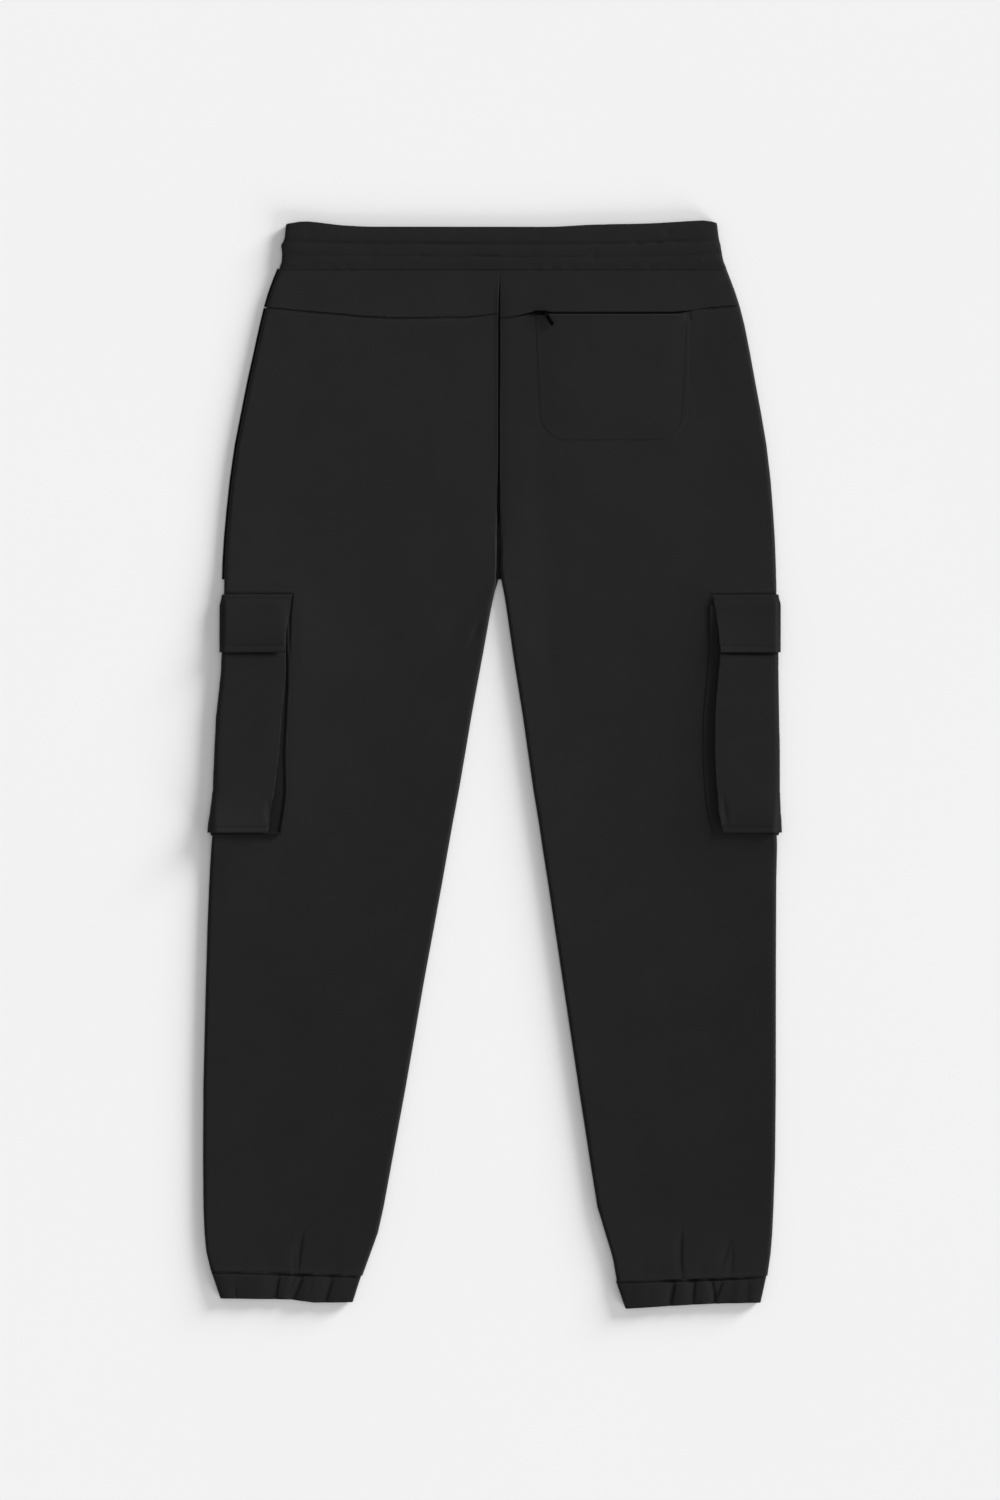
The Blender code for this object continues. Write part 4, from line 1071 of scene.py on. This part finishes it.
def choose_faces(piece, wanted):
    """Edit the piece with just the faces selected whose normal is wanted."""
    bpy.ops.object.mode_set(mode="OBJECT")
    for parts in (piece.data.vertices, piece.data.edges):
        parts.foreach_set("select", [False] * len(parts))
    for face in piece.data.polygons:
        face.select = wanted(face.normal)
    bpy.ops.object.mode_set(mode="EDIT")


def bent_rod(name, sides, thickness, length, dive, material):
    """A rod along x whose two ends bend down by dive; all sizes in mm."""
    bpy.ops.object.select_all(action="DESELECT")
    bpy.ops.mesh.primitive_cylinder_add(vertices=sides, radius=thickness / 2 * MM, depth=length / 2 * MM,
                                        rotation=(0, math.pi / 2, 0))
    rod = bpy.context.object
    rod.name = name
    bpy.ops.object.transform_apply(location=False, rotation=True, scale=False)
    for side in (-1, 1):
        choose_faces(rod, lambda normal: normal.x * side > 0.9)
        reach, fall = length / 4, 0.0
        for step, sink, size in ROD_ENDS:
            reach, fall = reach + step * length, fall - sink * dive
            bpy.ops.mesh.extrude_region_move(TRANSFORM_OT_translate={
                "value": (side * step * length * MM, 0, -sink * dive * MM)})
            bpy.ops.transform.resize(value=(size,) * 3, center_override=(side * reach * MM, 0, fall * MM))
    bpy.ops.object.mode_set(mode="OBJECT")
    bpy.ops.object.shade_smooth()
    rod.data.materials.append(material)
    return rod


# %% Thread and nylon
def strand_material(name, dark, light, roughness, fibre):
    """Spun or drawn polymer; fibre is the size of its mottle in mm."""
    material, tree = new_material(name)
    spun = add(tree, "TexNoise", {"Vector": object_place(tree), "Scale": 1 / (fibre * MM)})
    tone = shade(tree, spun, dark, light)
    bump = add(tree, "Bump", {"Height": spun.outputs["Fac"], "Distance": 0.03 * MM})
    surface(tree, {"Base Color": tone, "Roughness": roughness, "IOR": 1.55, "Specular IOR Level": 0.1,
                   "Normal": bump.outputs["Normal"]})
    return material


THREAD, STITCH_LENGTH, STITCH_PITCH = 0.45, 2.8, 3.6
COIL, LOOP_LENGTH, LOOP_PITCH = 0.6, 4.0, 1.3
stitch = bent_rod("stitch", 6, THREAD, STITCH_LENGTH, 0.4,
                  strand_material("spun_polyester_thread", "#1A1A1A", "#222222", 0.7, 0.25))
loop = bent_rod("coil_loop", 5, COIL, LOOP_LENGTH, 0.5,
                strand_material("drawn_nylon_coil", "#050505", "#080808", 0.45, 0.4))
for rod in (stitch, loop):
    print(rod.name, "has", len(rod.data.polygons), "faces")


# %% Lay copies along a row
PROUD = {UPWARD: 0.1, DOWNWARD: -0.12}
STEEPEST = 1.0


def lay_copies(rod, name, node, starts, ends, facing=UPWARD):
    """Copy the rod onto a cloth piece, from each start to its end (across, drop), and join the copies."""
    piece = sheets[node].piece
    tips = []
    for spots in (starts, ends):
        points = np.array([laid(*spot) for spot in spots])
        points[:, 2] = surface_below(piece, points, facing)
        tips.append(points)
    copies = []
    for a, b in zip(*(map(Vector, points) for points in tips)):
        if math.isnan(a.z + b.z) or abs(a.z - b.z) > STEEPEST * MM:
            continue
        forward = (b - a).normalized()
        aside = Vector((0, 0, facing)).cross(forward).normalized()
        up = forward.cross(aside)
        mesh = rod.data.copy()
        mesh.transform(Matrix.Translation((a + b) / 2 + up * PROUD[facing] * MM)
                       @ Matrix((forward, aside, up)).transposed().to_4x4())
        copies.append(linked(name, mesh))
    bpy.ops.object.select_all(action="DESELECT")
    for copy in copies:
        copy.select_set(True)
    bpy.context.view_layer.objects.active = copies[0]
    bpy.ops.object.join()
    row = bpy.context.object
    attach(row, "garment")
    sheets[node].sewn.append(row)
    print(name, "has", len(copies), "copies")


def sew(name, node, path, facing=UPWARD):
    """A row of stitches along a path of (across, drop) points."""
    path = np.array(path, float)
    run = np.concatenate(([0], np.cumsum(np.hypot(*np.diff(path, axis=0).T))))
    middles = np.arange(STITCH_PITCH / 2, run[-1], STITCH_PITCH)
    starts, ends = (np.stack([np.interp(middles + half, run, column) for column in path.T], 1)
                    for half in (-STITCH_LENGTH / 2, STITCH_LENGTH / 2))
    lay_copies(stitch, name, node, starts, ends, facing)


# %% Sew the rows
EDGE_STITCH = 1.6
corner = POCKET_CORNER - EDGE_STITCH
left_side, right_side = POCKET_SIDES
left_turn, right_turn = left_side + POCKET_TAPER + POCKET_CORNER, right_side - POCKET_TAPER - POCKET_CORNER
turn_drop, top_drop = POCKET_BOTTOM - POCKET_CORNER, ZIP_DROP + 4
turns = [math.radians(angle) for angle in range(0, 91, 10)]
quarter = [(corner * math.cos(turn), corner * math.sin(turn)) for turn in turns]
sew("stitches_hip_pocket", "back_pocket",
    [(left_side + EDGE_STITCH, top_drop), *((left_turn - near, turn_drop + far) for near, far in quarter),
     *((right_turn + far, turn_drop + near) for near, far in quarter), (right_side - EDGE_STITCH, top_drop)])
BOTH_FACES = (("", UPWARD), ("_front", DOWNWARD))
for row, number in zip(WAIST_ROWS, ("upper", "lower")):
    for side, facing in BOTH_FACES:
        sew("stitches_waist_" + number + side, "waistband", row, facing)
POCKET_ROWS = (("flap_hem", "cargo_flap_", FLAP_EDGE, FLAP_HEM), ("flap_top", "cargo_flap_", FLAP_SEAM, FLAP_TOP),
               ("face_hem", "cargo_face_", FACE_EDGE, FACE_HEM))
for leg in ("left", "right"):
    for name, node, line, inset in POCKET_ROWS:
        for side, facing in BOTH_FACES:
            sew("stitches_" + name + "_" + leg + side, node + leg, moved(line[leg], inset), facing)

# %% Zip coil
COIL_START, COIL_END = 46.0, 169.0
along = np.arange(COIL_START, COIL_END, LOOP_PITCH)
shift = np.where(np.arange(len(along)) % 2, 0.35, -0.35)
tops, bottoms = (np.stack((along, ZIP_DROP + shift + half), 1) for half in (-LOOP_LENGTH / 2, LOOP_LENGTH / 2))
lay_copies(loop, "zip_coil", "zip_tape", tops, bottoms)
for rod in (stitch, loop):
    bpy.data.objects.remove(rod)

# %% [markdown]
# ## Cloth sheets
#
# Each sheet of cloth states the size that it was cut to: what shows of it, all round where it is a tube.
# A fold that eats cloth would make a piece smaller than its cut.

print(len(sheets), "sheets of cloth")
